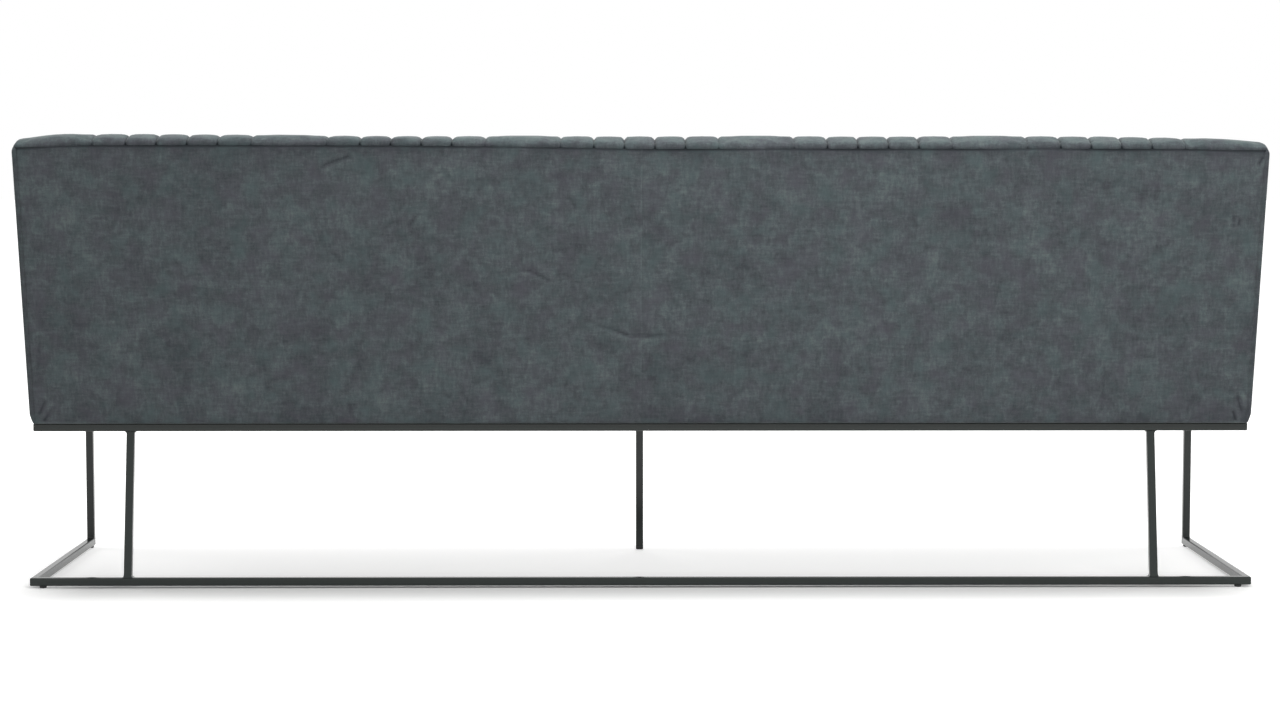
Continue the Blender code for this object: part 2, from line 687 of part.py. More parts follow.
def add_back_side_covers():
    """Panels over the ends of the back, down to the underside, thicker towards the flared top."""
    foot = pad_foot - GAP
    section = [back_point(board_rear, BACK_HEIGHT), back_point(QUILT + GAP, BACK_HEIGHT)]
    section += [back_point(inward, up) for inward, up in pad_outline(GAP)[:-1]]
    section += [
        back_point(quilt_rear - GAP, foot),
        back_point(quilt_front, foot),
        (back_plane_y(quilt_front, body_bottom), body_bottom),
        (back_plane_y(board_rear, body_bottom), body_bottom),
    ]
    inner_x = carcass_half + GAP
    for name, side in (("left", -1.0), ("right", 1.0)):
        points = [Vector((side * inner_x, y, z)) for y, z in section]
        bm = extrude_outline(points, Vector((side * COVER, 0.0, 0.0)))
        for vertex in bm.verts:
            if abs(vertex.co.x) > inner_x + COVER / 2:
                share = (vertex.co.z - body_bottom) / (BACK_HEIGHT * lean_cosine)
                vertex.co.x = side * (half_frame + SIDE_FLARE * share)
        add_piece(f"{name}_back_side_cover", bm, "velvet", upholstery)


def add_outside_back():
    """Two halves that meet in the seam at mid-length."""
    for name, side in (("left", -1.0), ("right", 1.0)):
        seam = side * GAP / 2
        points = [
            Vector((seam, 0.0, 0.0)),
            Vector((side * half_width(0.0, 0.0), 0.0, 0.0)),
            Vector((side * half_width(0.0, BACK_HEIGHT), 0.0, BACK_HEIGHT)),
            Vector((seam, 0.0, BACK_HEIGHT)),
        ]
        bm = extrude_outline(points, Vector((0.0, -OUTER_COVER, 0.0)))
        rear = [e for e in bm.edges if all(abs(v.co.y) < OUTER_COVER / 2 for v in e.verts)]
        bmesh.ops.bevel(
            bm, geom=rear, offset=OUTER_COVER_ROUND, segments=2, profile=0.5, affect="EDGES", material=-1
        )
        add_piece(f"{name}_outside_back_cover", bm, "velvet", back)


def seat_ring(z, inset):
    """Outline of the seat at a height, drawn in by an inset: rounded corners, long sides bowed in."""
    half = half_frame - inset
    front = body_front + inset
    rear = back_plane_y(quilt_front + GAP, z) - inset
    radius = max(SEAT_CORNER_RADIUS - inset, SEAT_CORNER_RADIUS / 4)
    turns = 4
    along = 10
    beside = 3
    corners = (
        (half - radius, front + radius, -90.0),
        (half - radius, rear - radius, 0.0),
        (radius - half, rear - radius, 90.0),
        (radius - half, front + radius, 180.0),
    )
    ring = []
    for i, (x, y, turn) in enumerate(corners):
        for k in range(turns):
            angle = math.radians(turn + 90.0 * k / (turns - 1))
            ring.append(Vector((x + radius * math.cos(angle), y + radius * math.sin(angle), z)))
        last = ring[-1]
        next_x, next_y, next_turn = corners[(i + 1) % 4]
        angle = math.radians(next_turn)
        first = Vector((next_x + radius * math.cos(angle), next_y + radius * math.sin(angle), z))
        count = beside if i % 2 == 0 else along
        ring += [last.lerp(first, k / (count + 1)) for k in range(1, count + 1)]
    for point in ring:
        if abs(point.y - front) < 1e-6:
            point.y += SEAT_DRAW_IN * (1.0 - (point.x / half) ** 2)
    return ring


def seat_rings(foot, inset):
    """Rings of the seat's surface, drawn in by an inset, from a foot up over the edge to the crest."""
    shoulder = seat_top - SEAT_CROWN
    edge = shoulder - SEAT_EDGE_RADIUS
    radius = SEAT_EDGE_RADIUS - inset
    rings = [seat_ring(foot, inset)]
    for turn in (0.0, 30.0, 60.0, 90.0):
        angle = math.radians(turn)
        rings.append(seat_ring(edge + radius * math.sin(angle), SEAT_EDGE_RADIUS - radius * math.cos(angle)))
    middle = (back_plane_y(quilt_front, shoulder) - body_front) / 2
    reach = (middle - SEAT_EDGE_RADIUS) * CROWN_REACH
    steps = 3
    for k in range(1, steps + 1):
        share = k / steps
        rise = SEAT_CROWN * math.sin(share * math.pi / 2)
        rings.append(seat_ring(shoulder + rise - inset, SEAT_EDGE_RADIUS + reach * share))
    return rings


def skin(bm, rings):
    """Closes the sides between rings of equal count, and returns the rings' vertices."""
    made = [[bm.verts.new(p) for p in ring] for ring in rings]
    for lower, upper in zip(made, made[1:]):
        for i in range(len(lower)):
            k = (i + 1) % len(lower)
            bm.faces.new((lower[i], lower[k], upper[k], upper[i]))
    return made


def add_seat_pad():
    # Cover: an outer and an inner skin, joined along the seam around the seat.
    bm = bmesh.new()
    outside = skin(bm, seat_rings(seat_seam, 0.0))
    inside = skin(bm, seat_rings(seat_seam, COVER))
    for rings in (outside, inside):
        bm.faces.new(rings[-1])
    for i in range(len(outside[0])):
        k = (i + 1) % len(outside[0])
        bm.faces.new((outside[0][i], inside[0][i], inside[0][k], outside[0][k]))
    add_piece("seat_cover", bm, "velvet", upholstery, smooth=True)
    bm = bmesh.new()
    rings = skin(bm, seat_rings(foam_bottom, COVER + GAP))
    bm.faces.new(rings[0])
    bm.faces.new(rings[-1])
    add_piece("seat_foam", bm, "foam", upholstery, smooth=True)


def add_seat_borders():
    """Panels round the seat below its cover."""
    top = seat_seam - GAP
    front_inner = body_front + COVER
    points = [
        Vector((-half_frame, front_inner, body_bottom)),
        Vector((-half_frame, body_front, body_bottom)),
        Vector((half_frame, body_front, body_bottom)),
        Vector((half_frame, front_inner, body_bottom)),
    ]
    bm = extrude_outline(points, Vector((0.0, 0.0, top - body_bottom)))
    corners = [e for e in bm.edges if all(v.co.y < front_inner - COVER / 2 for v in e.verts)]
    upright = [e for e in corners if abs(e.verts[0].co.z - e.verts[1].co.z) > COVER]
    bmesh.ops.bevel(
        bm, geom=upright, offset=BORDER_ROUND, segments=3, profile=0.5, affect="EDGES", material=-1
    )
    add_piece("seat_front_border", bm, "velvet", upholstery)
    for name, side in (("left", -1.0), ("right", 1.0)):
        inner_x = side * (carcass_half + GAP)
        section = [
            (front_inner + GAP, body_bottom),
            (back_plane_y(quilt_front + GAP, body_bottom), body_bottom),
            (back_plane_y(quilt_front + GAP, top), top),
            (front_inner + GAP, top),
        ]
        points = [Vector((inner_x, y, z)) for y, z in section]
        bm = extrude_outline(points, Vector((side * (half_frame - carcass_half - GAP), 0.0, 0.0)))
        add_piece(f"seat_{name}_border", bm, "velvet", upholstery)


def add_dust_cover(cutters):
    rear = back_plane_y(post_rear, carcass_bottom)
    low = (-carcass_half, carcass_front, body_bottom)
    high = (carcass_half, rear, body_bottom + DUST_COVER)
    cloth = add_box("dust_cover", low, high, "dust_cloth", upholstery)
    for cutter in cutters:
        cut_hole(cloth, cutter)


for old in list(bpy.data.objects):
    bpy.data.objects.remove(old, do_unlink=True)

sofa = add_empty("sofa", (0.0, 0.0, 0.0))
steel_frame = add_empty("steel_frame", (0.0, 0.0, 0.0), parent=sofa)
carcass = add_empty("carcass", (0.0, 0.0, 0.0), parent=sofa)
upholstery = add_empty("upholstery", (0.0, 0.0, 0.0), parent=sofa)
back = add_empty("back", (0.0, body_rear, body_bottom), -BACK_LEAN, sofa)

add_floor_frame()
add_rear_legs()
add_top_frame()
add_centre_leg()
add_glides()
screw_holes = add_fixings()
add_seat_rails()
add_cross_rails(screw_holes)
add_corner_blocks()
add_back_posts()
add_back_rails()
add_suspension()
add_back_foam()
add_back_cover()
add_back_side_covers()
add_outside_back()
add_seat_pad()
add_seat_borders()
add_dust_cover(screw_holes)
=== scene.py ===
import json
import math

import bmesh
import bpy
import numpy as np
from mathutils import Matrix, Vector, noise


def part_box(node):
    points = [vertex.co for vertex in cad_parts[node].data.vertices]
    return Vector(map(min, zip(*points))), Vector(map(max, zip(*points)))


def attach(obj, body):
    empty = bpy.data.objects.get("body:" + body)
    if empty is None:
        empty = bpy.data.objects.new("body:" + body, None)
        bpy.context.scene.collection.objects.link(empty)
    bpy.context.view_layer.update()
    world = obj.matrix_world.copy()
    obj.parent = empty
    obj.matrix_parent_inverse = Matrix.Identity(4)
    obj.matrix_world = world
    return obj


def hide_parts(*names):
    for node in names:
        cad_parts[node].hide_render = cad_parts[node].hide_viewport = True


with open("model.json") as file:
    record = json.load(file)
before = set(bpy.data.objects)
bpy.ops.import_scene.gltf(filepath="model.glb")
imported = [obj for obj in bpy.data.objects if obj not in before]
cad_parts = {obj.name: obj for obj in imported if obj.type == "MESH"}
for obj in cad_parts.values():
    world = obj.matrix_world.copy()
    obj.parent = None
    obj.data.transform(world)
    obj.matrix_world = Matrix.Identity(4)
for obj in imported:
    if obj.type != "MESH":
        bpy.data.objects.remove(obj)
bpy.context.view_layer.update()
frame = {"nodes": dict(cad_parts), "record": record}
scene = bpy.context.scene
print("frame loaded,", len(frame["nodes"]), "nodes")


# Small tools that every piece uses

sides = (("left", -1.0), ("right", 1.0))
sharpAngle = 60.0  # degrees, past which an edge is drawn sharp


def linearFromHex(hexColour):
    shares = [int(hexColour[i : i + 2], 16) / 255 for i in (1, 3, 5)]
    return [s / 12.92 if s <= 0.04045 else ((s + 0.055) / 1.055) ** 2.4 for s in shares] + [1.0]


def addNode(tree, kind, values=None, links=None, **settings):
    node = tree.nodes.new(kind)
    for key, value in settings.items():
        setattr(node, key, value)
    for socket, value in (values or {}).items():
        node.inputs[socket].default_value = value
    for socket, source in (links or {}).items():
        # a link comes from a socket, or from the first output of a node
        tree.links.new(source.outputs[0] if hasattr(source, "outputs") else source, node.inputs[socket])
    return node


def newSurface(name):
    material = bpy.data.materials.new(name)
    material.use_nodes = True
    tree = material.node_tree
    return material, tree, tree.nodes["Principled BSDF"]


def perMetre(millimetres):
    return 1000.0 / millimetres


def fade(low, high, value):
    share = min(max((value - low) / (high - low), 0.0), 1.0)
    return share * share * (3.0 - 2.0 * share)


def rolled(distance, radius):
    share = min(max(distance / radius, 0.0), 1.0)
    return math.sqrt(1.0 - (1.0 - share) ** 2)


def hump(shape, distance):
    # a smooth hump beside a seam or an edge: its strength, its width and how far from there it lies
    strength, width, offset = shape
    return strength * math.exp(-(((distance - offset) / width) ** 2))


def wave(x, y, size, seed):
    return noise.noise(Vector((x / size, y / size, seed)))


def crowdEdges(share, amount):
    # moves evenly spaced grid lines towards both edges, where the cloth turns
    return share - amount * math.sin(math.tau * share) / math.tau


def lengthAlong(points):
    return np.concatenate(([0.0], np.cumsum(np.hypot(*np.diff(points, axis=0).T))))


def keepMesh(name, bm, material, angle=sharpAngle):
    mesh = bpy.data.meshes.new(name)
    bm.to_mesh(mesh)
    bm.free()
    mesh.shade_smooth()
    mesh.set_sharp_from_angle(angle=math.radians(angle))
    mesh.materials.append(material)
    piece = bpy.data.objects.new(name, mesh)
    scene.collection.objects.link(piece)
    return piece


def mount(piece, slot, *nodes):
    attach(piece, "root")
    if nodes:
        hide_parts(*nodes)
    return piece


# The stage: the photograph's angle, an even white studio and a pale floor

studio = {
    "eye": (0.041, 5.187, 0.7786),  # behind the sofa, a little below the top of its back
    "downTilt": 4.104,  # degrees
    "turn": 0.443,  # degrees, back towards the middle
    "lens": 75.26,  # millimetres, as is the sensor's width
    "sensor": 36.0,
    "farClip": 200.0,
    "floorColour": "#E6E6E5",
    # the floor's glow is painted light, seen but lighting nothing: none along the rear bar, so that the
    # floor's shadow stays there, more away from it, where it washes the shadow out, most far off
    "glowFrom": 0.275,
    "glowHalf": 1.0,  # half the length of the bar's shadow
    "glowRise": 0.21,
    "floorGlow": 0.43,
    "frontGlow": 0.15,
    "frontReach": (0.18, 0.56),
    "farGlow": 0.5,
    "farReach": (1.6, 7.0),
    "floorReach": 60.0,
    "skyTop": 0.34,  # light from above, from the horizon and from below
    "skyLevel": 0.10,
    "skyFoot": 0.10,
    "lampsAim": (0.0, 0.1, 0.55),
    "softboxes": (
        # place, size in metres, watts
        ((-0.8, 2.6, 2.2), 1.8, 58.0),
        ((4.2, -1.8, 2.6), 2.2, 42.0),
        ((-4.2, -1.8, 2.6), 2.2, 42.0),
        ((0.0, -4.2, 3.0), 3.0, 85.0),
        ((0.0, 0.3, 3.6), 2.6, 90.0),
    ),
}
white = (1.0, 1.0, 1.0, 1.0)


def seenRays(tree):
    # rays that look at the background, straight, in a gloss or through glass, and don't light the sofa by it
    path = addNode(tree, "ShaderNodeLightPath")
    seen = path.outputs["Is Camera Ray"]
    for kind in ("Is Glossy Ray", "Is Transmission Ray"):
        seen = addNode(tree, "ShaderNodeMath", operation="MAXIMUM", links={0: seen, 1: path.outputs[kind]})
    return seen


def makeCamera():
    lens = bpy.data.cameras.new("photoView")
    lens.lens = studio["lens"]
    lens.sensor_width = studio["sensor"]
    lens.clip_end = studio["farClip"]
    view = bpy.data.objects.new("photoView", lens)
    view.location = studio["eye"]
    view.rotation_euler = (
        math.radians(90.0 - studio["downTilt"]), 0.0, math.radians(180.0 - studio["turn"])
    )
    scene.collection.objects.link(view)
    scene.camera = view


def makeLight():
    for number, (place, size, watts) in enumerate(studio["softboxes"]):
        lamp = bpy.data.lights.new(f"softbox{number}", "AREA")
        lamp.size = size
        lamp.energy = watts
        holder = bpy.data.objects.new(f"softbox{number}", lamp)
        holder.location = place
        aim = Vector(studio["lampsAim"]) - Vector(place)
        holder.rotation_euler = aim.to_track_quat("-Z", "Y").to_euler()
        holder.visible_camera = False
        holder.visible_glossy = False
        scene.collection.objects.link(holder)

    world = bpy.data.worlds.new("whiteStudio")
    world.use_nodes = True
    tree = world.node_tree
    coords = addNode(tree, "ShaderNodeTexCoord")
    height = addNode(tree, "ShaderNodeSeparateXYZ", links={0: coords.outputs["Generated"]}).outputs["Z"]
    bands = []
    for low, high, start, end in ((-1.0, 0.0, "skyFoot", "skyLevel"), (0.0, 1.0, "skyLevel", "skyTop")):
        bands.append(
            addNode(
                tree, "ShaderNodeMapRange", links={"Value": height},
                values={"From Min": low, "From Max": high, "To Min": studio[start], "To Max": studio[end]},
            )
        )
    upper = addNode(tree, "ShaderNodeMath", operation="GREATER_THAN", values={1: 0.0}, links={0: height})
    light = addNode(tree, "ShaderNodeMix", data_type="FLOAT", links={0: upper, 2: bands[0], 3: bands[1]})
    strength = addNode(
        tree, "ShaderNodeMix", data_type="FLOAT", values={3: 1.0}, links={0: seenRays(tree), 2: light}
    )
    background = tree.nodes["Background"]
    tree.links.new(strength.outputs[0], background.inputs["Strength"])
    background.inputs["Color"].default_value = white
    scene.world = world


def makeFloor():
    bm = bmesh.new()
    bmesh.ops.create_grid(bm, x_segments=2, y_segments=2, size=studio["floorReach"])
    paint, tree, shader = newSurface("paleFloorPaint")  # matt, so that it shows nothing but the shadow
    shader.inputs["Roughness"].default_value = 1.0
    shader.inputs["Specular IOR Level"].default_value = 0.0
    shader.inputs["Base Color"].default_value = linearFromHex(studio["floorColour"])
    spot = addNode(tree, "ShaderNodeTexCoord").outputs["Object"]
    parts = addNode(tree, "ShaderNodeSeparateXYZ", links={0: spot})
    # how far a spot lies from the shadow of the rear bar, which runs along X
    beside = addNode(
        tree, "ShaderNodeMath", operation="SUBTRACT", links={0: parts.outputs["Y"]},
        values={1: studio["glowFrom"]},
    )
    beyond = addNode(tree, "ShaderNodeMath", operation="ABSOLUTE", links={0: parts.outputs["X"]})
    for operation, amount in (("SUBTRACT", studio["glowHalf"]), ("MAXIMUM", 0.0)):
        beyond = addNode(tree, "ShaderNodeMath", operation=operation, values={1: amount}, links={0: beyond})
    apart = addNode(tree, "ShaderNodeCombineXYZ", links={"X": beyond, "Y": beside})
    apart = addNode(tree, "ShaderNodeVectorMath", operation="LENGTH", links={0: apart}).outputs["Value"]
    away = addNode(tree, "ShaderNodeVectorMath", operation="LENGTH", links={0: spot}).outputs["Value"]
    # painted light: the glow lifts the floor's shadow under the sofa and leaves it only along the rear bar
    glow = addNode(
        tree, "ShaderNodeMapRange", interpolation_type="SMOOTHSTEP", links={"Value": apart},
        values={"From Min": 0.0, "From Max": studio["glowRise"], "To Min": 0.0, "To Max": studio["floorGlow"]},
    )
    for distance, part in ((apart, "front"), (away, "far")):
        near, far = studio[part + "Reach"]
        more = addNode(
            tree, "ShaderNodeMapRange", links={"Value": distance},
            values={"From Min": near, "From Max": far, "To Min": 0.0, "To Max": studio[part + "Glow"]},
        )
        glow = addNode(tree, "ShaderNodeMath", operation="ADD", links={0: glow, 1: more})
    glow = addNode(tree, "ShaderNodeMath", operation="MULTIPLY", links={0: glow, 1: seenRays(tree)})
    shader.inputs["Emission Color"].default_value = white
    tree.links.new(glow.outputs[0], shader.inputs["Emission Strength"])
    keepMesh("floor", bm, paint)


def makeStage():
    scene.view_settings.view_transform = "Standard"
    makeCamera()
    makeLight()
    makeFloor()
    print("stage set")


# Materials

velvet = {
    "fold": "#1B1F22",  # painted shade, deep in a seam or a stitch line
    "dark": "#3F4347",
    "slate": "#4B5053",
    "mist": "#52595C",
    "light": "#606969",
    "violet": "#4C4A52",  # where the pile lies one way
    "teal": "#4B595A",  # and where it lies the other way
    "stops": ((0.20, "dark"), (0.46, "slate"), (0.62, "mist"), (0.90, "light")),
    "patterns": (
        # size in millimetres, stretch along X, Y and Z, detail, roughness, distortion, share in the tone
        (90.0, (1.0, 1.0, 1.0), 3.0, 0.55, 0.4, 0.60),  # clouds
        (24.0, (1.0, 1.0, 1.0), 3.0, 0.6, 0.6, 0.85),  # patches
        (4.6, (1.0, 1.0, 5.0), 2.0, 0.6, 0.0, 0.60),  # strokes along the upright threads
        (4.6, (5.0, 1.0, 1.0), 2.0, 0.6, 0.0, 0.52),  # strokes along the cross threads
        (2.4, (1.0, 1.0, 1.0), 2.0, 0.7, 0.0, 0.46),  # pile of about 0.3 mm, drawn coarser so that it shows
    ),
    "paintedShift": 0.5,  # how far the painted highlights and shade move the tone
    "tintSize": 42.0,  # millimetres
    "tints": (("violet", 0.50, 0.74), ("teal", 0.50, 0.26)),
    "tintShare": 0.62,
    "paintedFoldRange": (-0.5, -1.3),  # from here to there the painted shade turns as dark as a fold
    "roughness": 0.85,
    "specular": 0.12,
    "sheen": 0.34,
    "sheenRoughness": 0.42,
    "sheenTint": "#C4CCC8",
    "relief": {"Strength": 0.25, "Distance": 0.0006},
}


def makeVelvet():
    # Woven polyester velvet with an aged print: matt in front, pale where the pile is seen from the side,
    # clouded all over in slate, teal and violet greys with short strokes along both threads. Each piece's own
    # pile attribute paints highlights on edges, seams and tops and paints shade into folds, seams and stitch
    # lines.
    material, tree, shader = newSurface("agedVelvet")
    coords = addNode(tree, "ShaderNodeTexCoord").outputs["Object"]
    # the pile attribute holds painted highlights above zero and painted shade below zero
    paintedShading = addNode(tree, "ShaderNodeAttribute", attribute_name="pile").outputs["Fac"]
    total = addNode(
        tree, "ShaderNodeMath", operation="MULTIPLY_ADD", values={1: velvet["paintedShift"], 2: 0.5}, links={0: paintedShading}
    )
    for size, stretch, detail, roughness, distortion, share in velvet["patterns"]:
        drawn = addNode(
            tree, "ShaderNodeMapping", links={"Vector": coords}, values={"Scale": [1.0 / s for s in stretch]}
        )
        pattern = addNode(
            tree, "ShaderNodeTexNoise", links={"Vector": drawn},
            values={
                "Scale": perMetre(size), "Detail": detail, "Roughness": roughness, "Distortion": distortion,
            },
        ).outputs["Fac"]
        centred = addNode(
            tree, "ShaderNodeMath", operation="MULTIPLY_ADD", links={0: pattern},
            values={1: share, 2: -0.5 * share},
        )
        total = addNode(tree, "ShaderNodeMath", operation="ADD", links={0: total, 1: centred})
    ramp = addNode(tree, "ShaderNodeValToRGB", links={"Fac": total})
    elements = ramp.color_ramp.elements
    while len(elements) < len(velvet["stops"]):
        elements.new(0.5)
    for element, (place, tone) in zip(elements, velvet["stops"]):
        element.position = place
        element.color = linearFromHex(velvet[tone])
    tint = addNode(
        tree, "ShaderNodeTexNoise", links={"Vector": coords},
        values={"Scale": perMetre(velvet["tintSize"]), "Detail": 3.0, "Roughness": 0.6},
    ).outputs["Fac"]
    layers = [(tint, tone, low, high, velvet["tintShare"]) for tone, low, high in velvet["tints"]]
    # painted shade turns the tone towards the fold's dark colour
    layers.append((paintedShading, "fold", *velvet["paintedFoldRange"], 1.0))
    colour = ramp.outputs["Color"]
    for source, tone, low, high, most in layers:
        share = addNode(
            tree, "ShaderNodeMapRange", links={"Value": source},
            values={"From Min": low, "From Max": high, "To Min": 0.0, "To Max": most},
        )
        colour = addNode(
            tree, "ShaderNodeMix", data_type="RGBA", links={0: share, 6: colour},
            values={7: linearFromHex(velvet[tone])},
        ).outputs[2]
    tree.links.new(colour, shader.inputs["Base Color"])
    shader.inputs["Roughness"].default_value = velvet["roughness"]
    shader.inputs["Specular IOR Level"].default_value = velvet["specular"]
    shader.inputs["Sheen Weight"].default_value = velvet["sheen"]
    shader.inputs["Sheen Roughness"].default_value = velvet["sheenRoughness"]
    shader.inputs["Sheen Tint"].default_value = linearFromHex(velvet["sheenTint"])
    # the relief follows the last and finest pattern
    pile = addNode(tree, "ShaderNodeBump", links={"Height": pattern}, values=velvet["relief"])
    tree.links.new(pile.outputs[0], shader.inputs["Normal"])
    return material


# The other finishes are two tones with a fine relief: sizes in millimetres, pull draws the grain out

pine = {"tones": ("#D3AE78", "#BB8E57"), "size": 9.0, "roughness": 0.62, "bump": 0.0002}
finishes = {
    # Steel tube in a fine satin powder coat: even anthracite, slightly pebbled, pale only at a flat glance.
    "anthracitePowderCoat": {
        "tones": ("#2A302E", "#242A28"), "size": 1.6, "roughness": 0.17, "specular": 0.34, "bump": 0.0002,
        "strength": 0.1,
    },
    # Zinc-plated steel: bright grey with a faint crystal bloom.
    "zincPlatedSteel": {
        "tones": ("#B4B7B6", "#9B9E9D"), "size": 1.2, "roughness": 0.34, "bump": 0.0001, "metal": 1.0,
    },
    # Moulded black polyethylene: dull, with the mould's fine grain.
    "mouldedPolyethylene": {"tones": ("#191A1B", "#121314"), "size": 0.9, "roughness": 0.5, "bump": 0.0001},
    # Planed pine: warm straw with darker summer growth drawn along each board.
    "pineAlong": {**pine, "pull": (0.05, 1.0, 1.0)},
    "pineAcross": {**pine, "pull": (1.0, 0.05, 1.0)},
    "pineUpright": {**pine, "pull": (1.0, 1.0, 0.05)},
    # Pressed hardboard: brown, felted with short dark fibres.
    "pressedHardboard": {"tones": ("#8A6A4B", "#6B4E34"), "size": 3.0, "roughness": 0.7, "bump": 0.0001},
    # Needled wool felt: grey with mixed light and dark fibres.
    "needledFelt": {
        "tones": ("#A3A199", "#6F6E69"), "size": 4.0, "roughness": 0.95, "bump": 0.0006,
        "pull": (0.5, 1.0, 1.0),
    },
    # Cut polyurethane foam: cream, open-celled and quite matt.
    "cutFoam": {"tones": ("#E9DDBB", "#D6C79E"), "size": 1.8, "roughness": 0.95, "bump": 0.0006},
    # Spunbond polypropylene: thin black cloth of tangled fibres.
    "spunbondCloth": {"tones": ("#1A1A1B", "#0F0F10"), "size": 2.0, "roughness": 0.8, "bump": 0.0002},
}


def makeFinish(name):
    finish = finishes[name]
    material, tree, shader = newSurface(name)
    coords = addNode(tree, "ShaderNodeTexCoord").outputs["Object"]
    drawn = addNode(
        tree, "ShaderNodeMapping", links={"Vector": coords},
        values={"Scale": finish.get("pull", (1.0, 1.0, 1.0))},
    )
    fleck = addNode(
        tree, "ShaderNodeTexNoise", links={"Vector": drawn},
        values={"Scale": perMetre(finish["size"]), "Detail": 3.0, "Roughness": 0.6},
    ).outputs["Fac"]
    spread = addNode(
        tree, "ShaderNodeMapRange", links={"Value": fleck}, values={"From Min": 0.3, "From Max": 0.7}
    )
    light, dark = (linearFromHex(tone) for tone in finish["tones"])
    colour = addNode(tree, "ShaderNodeMix", data_type="RGBA", links={0: spread}, values={6: light, 7: dark})
    tree.links.new(colour.outputs[2], shader.inputs["Base Color"])
    shader.inputs["Roughness"].default_value = finish["roughness"]
    shader.inputs["Metallic"].default_value = finish.get("metal", 0.0)
    shader.inputs["Specular IOR Level"].default_value = finish.get("specular", 0.5)
    relief = addNode(
        tree, "ShaderNodeBump", links={"Height": fleck},
        values={"Strength": finish.get("strength", 0.4), "Distance": finish["bump"]},
    )
    tree.links.new(relief.outputs[0], shader.inputs["Normal"])
    return material


strapCloth = {
    "thread": "#26262A", "gap": "#101013", "roughness": 0.75,
    "spacing": 3.0,  # millimetres
    "waveLength": math.tau / 20.0,  # of the wave pattern at a scale of 1
    "unevenness": 0.6,
    "relief": {"Strength": 0.5, "Distance": 0.0005},
}


def makeStrapCloth():
    # Woven elastic polypropylene strap: black, ribbed across by its thick threads.
    material, tree, shader = newSurface("wovenElasticStrap")
    coords = addNode(tree, "ShaderNodeTexCoord").outputs["Object"]
    scale = perMetre(strapCloth["spacing"]) * strapCloth["waveLength"]
    ribs = []
    for direction in ("X", "Y"):
        ribs.append(
            addNode(
                tree, "ShaderNodeTexWave", links={"Vector": coords}, bands_direction=direction,
                values={"Scale": scale, "Distortion": strapCloth["unevenness"]},
            ).outputs["Fac"]
        )
    woven = addNode(tree, "ShaderNodeMath", operation="MULTIPLY", links={0: ribs[0], 1: ribs[1]})
    colour = addNode(
        tree, "ShaderNodeMix", data_type="RGBA", links={0: woven},
        values={6: linearFromHex(strapCloth["gap"]), 7: linearFromHex(strapCloth["thread"])},
    )
    tree.links.new(colour.outputs[2], shader.inputs["Base Color"])
    shader.inputs["Roughness"].default_value = strapCloth["roughness"]
    relief = addNode(tree, "ShaderNodeBump", links={"Height": woven}, values=strapCloth["relief"])
    tree.links.new(relief.outputs[0], shader.inputs["Normal"])
    return material


# Where the body lies: the back leans on the rear, and its layers are given inward and up its rear face

body = {
    "lean": math.radians(10.6),
    "rearCover": 0.004,  # thickness of the cover outside the back
    "quiltRear": 0.1003,  # inner face of the quilt, in from the rear face
    "quilt": 0.011,  # quilt at the crest of a channel
    "stitch": 0.005,  # quilt at a stitch line
    "crest": 0.026,  # top of the pad, in from the rear face
    "frontDrop": 0.045,  # where the rounded top meets the straight front, below the rear seam
    "rearRise": 0.0035,  # how far the pad rises from the rear seam to its top
    "rearRound": 0.019,
    "cover": 0.006,  # cloth and wadding on the seat
    "foamRear": 0.0685,  # rear of the back's foam, in from the rear face
}
leanSine = math.sin(body["lean"])
leanCosine = math.cos(body["lean"])
rearLow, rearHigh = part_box("left_outside_back_cover")
footY = rearLow.y + body["rearCover"] * leanCosine
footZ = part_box("left_back_side_cover")[0].z
backHeight = (rearHigh.y - footY) / leanSine
borderLow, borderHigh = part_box("seat_front_border")
halfFoot = borderHigh.x
halfTop = -rearLow.x
seatLow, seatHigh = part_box("seat_cover")
foamLow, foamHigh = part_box("seat_foam")
springUp = backHeight - body["frontDrop"]


def backPoint(x, inward, up):
    return Vector(
        (x, footY + up * leanSine - inward * leanCosine, footZ + up * leanCosine + inward * leanSine)
    )


def upAt(z, inward):
    return (z - footZ - inward * leanSine) / leanCosine


def halfWidth(up):
    return halfFoot + (halfTop - halfFoot) * up / backHeight


def backPlaneY(inward, z):
    return backPoint(0.0, inward, upAt(z, inward)).y


def crownPoint(turn):
    # inward and up on the pad's rounded top, from its crest at 0 to its straight front at a right angle
    across = body["quiltRear"] - body["crest"]
    tall = backHeight + body["rearRise"] - springUp
    return body["crest"] + across * math.sin(turn), springUp + tall * math.cos(turn)


padFoot = upAt(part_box("back_cover")[0].z, body["quiltRear"])


# The top edge was sewn by hand: heights of the rear seam and of the crest along it, in metres

handSewn = {
    "seamPlaces": (-1.12, -1.02, -0.83, -0.22, 0.0, 0.22, 0.435, 0.62, 0.98, 1.05, 1.12),
    "seamLifts": (-0.005, -0.0025, -0.0016, -0.0016, -0.0025, 0.002, 0.0039, 0.0047, 0.0047, 0.0039, 0.0),
    "crestPlaces": (-1.08, -1.03, -0.96, -0.83, 0.435, 0.62, 0.75, 0.95, 1.05, 1.12),
    "crestLifts": (-0.0071, -0.0051, -0.0029, -0.0004, -0.0003, 0.0007, 0.0025, 0.0038, 0.0028, -0.0006),
    "seamToCrest": (0.013, 0.036),  # inward, where the one passes into the other
    "reach": 0.06,  # how far below the rounded top the lift begins
}


def topLift(x, inward, up):
    seam = float(np.interp(x, handSewn["seamPlaces"], handSewn["seamLifts"]))
    crest = float(np.interp(x, handSewn["crestPlaces"], handSewn["crestLifts"]))
    front = fade(*handSewn["seamToCrest"], inward)
    return (seam + (crest - seam) * front) * fade(springUp - handSewn["reach"], backHeight, up)


# A sewn cover: a grid laid over its pad, swollen as cloth against its stitching, then closed behind

coverCloth = {"quality": 5, "mass": 0.2, "airDamping": 3.0, "shear": 0.5}


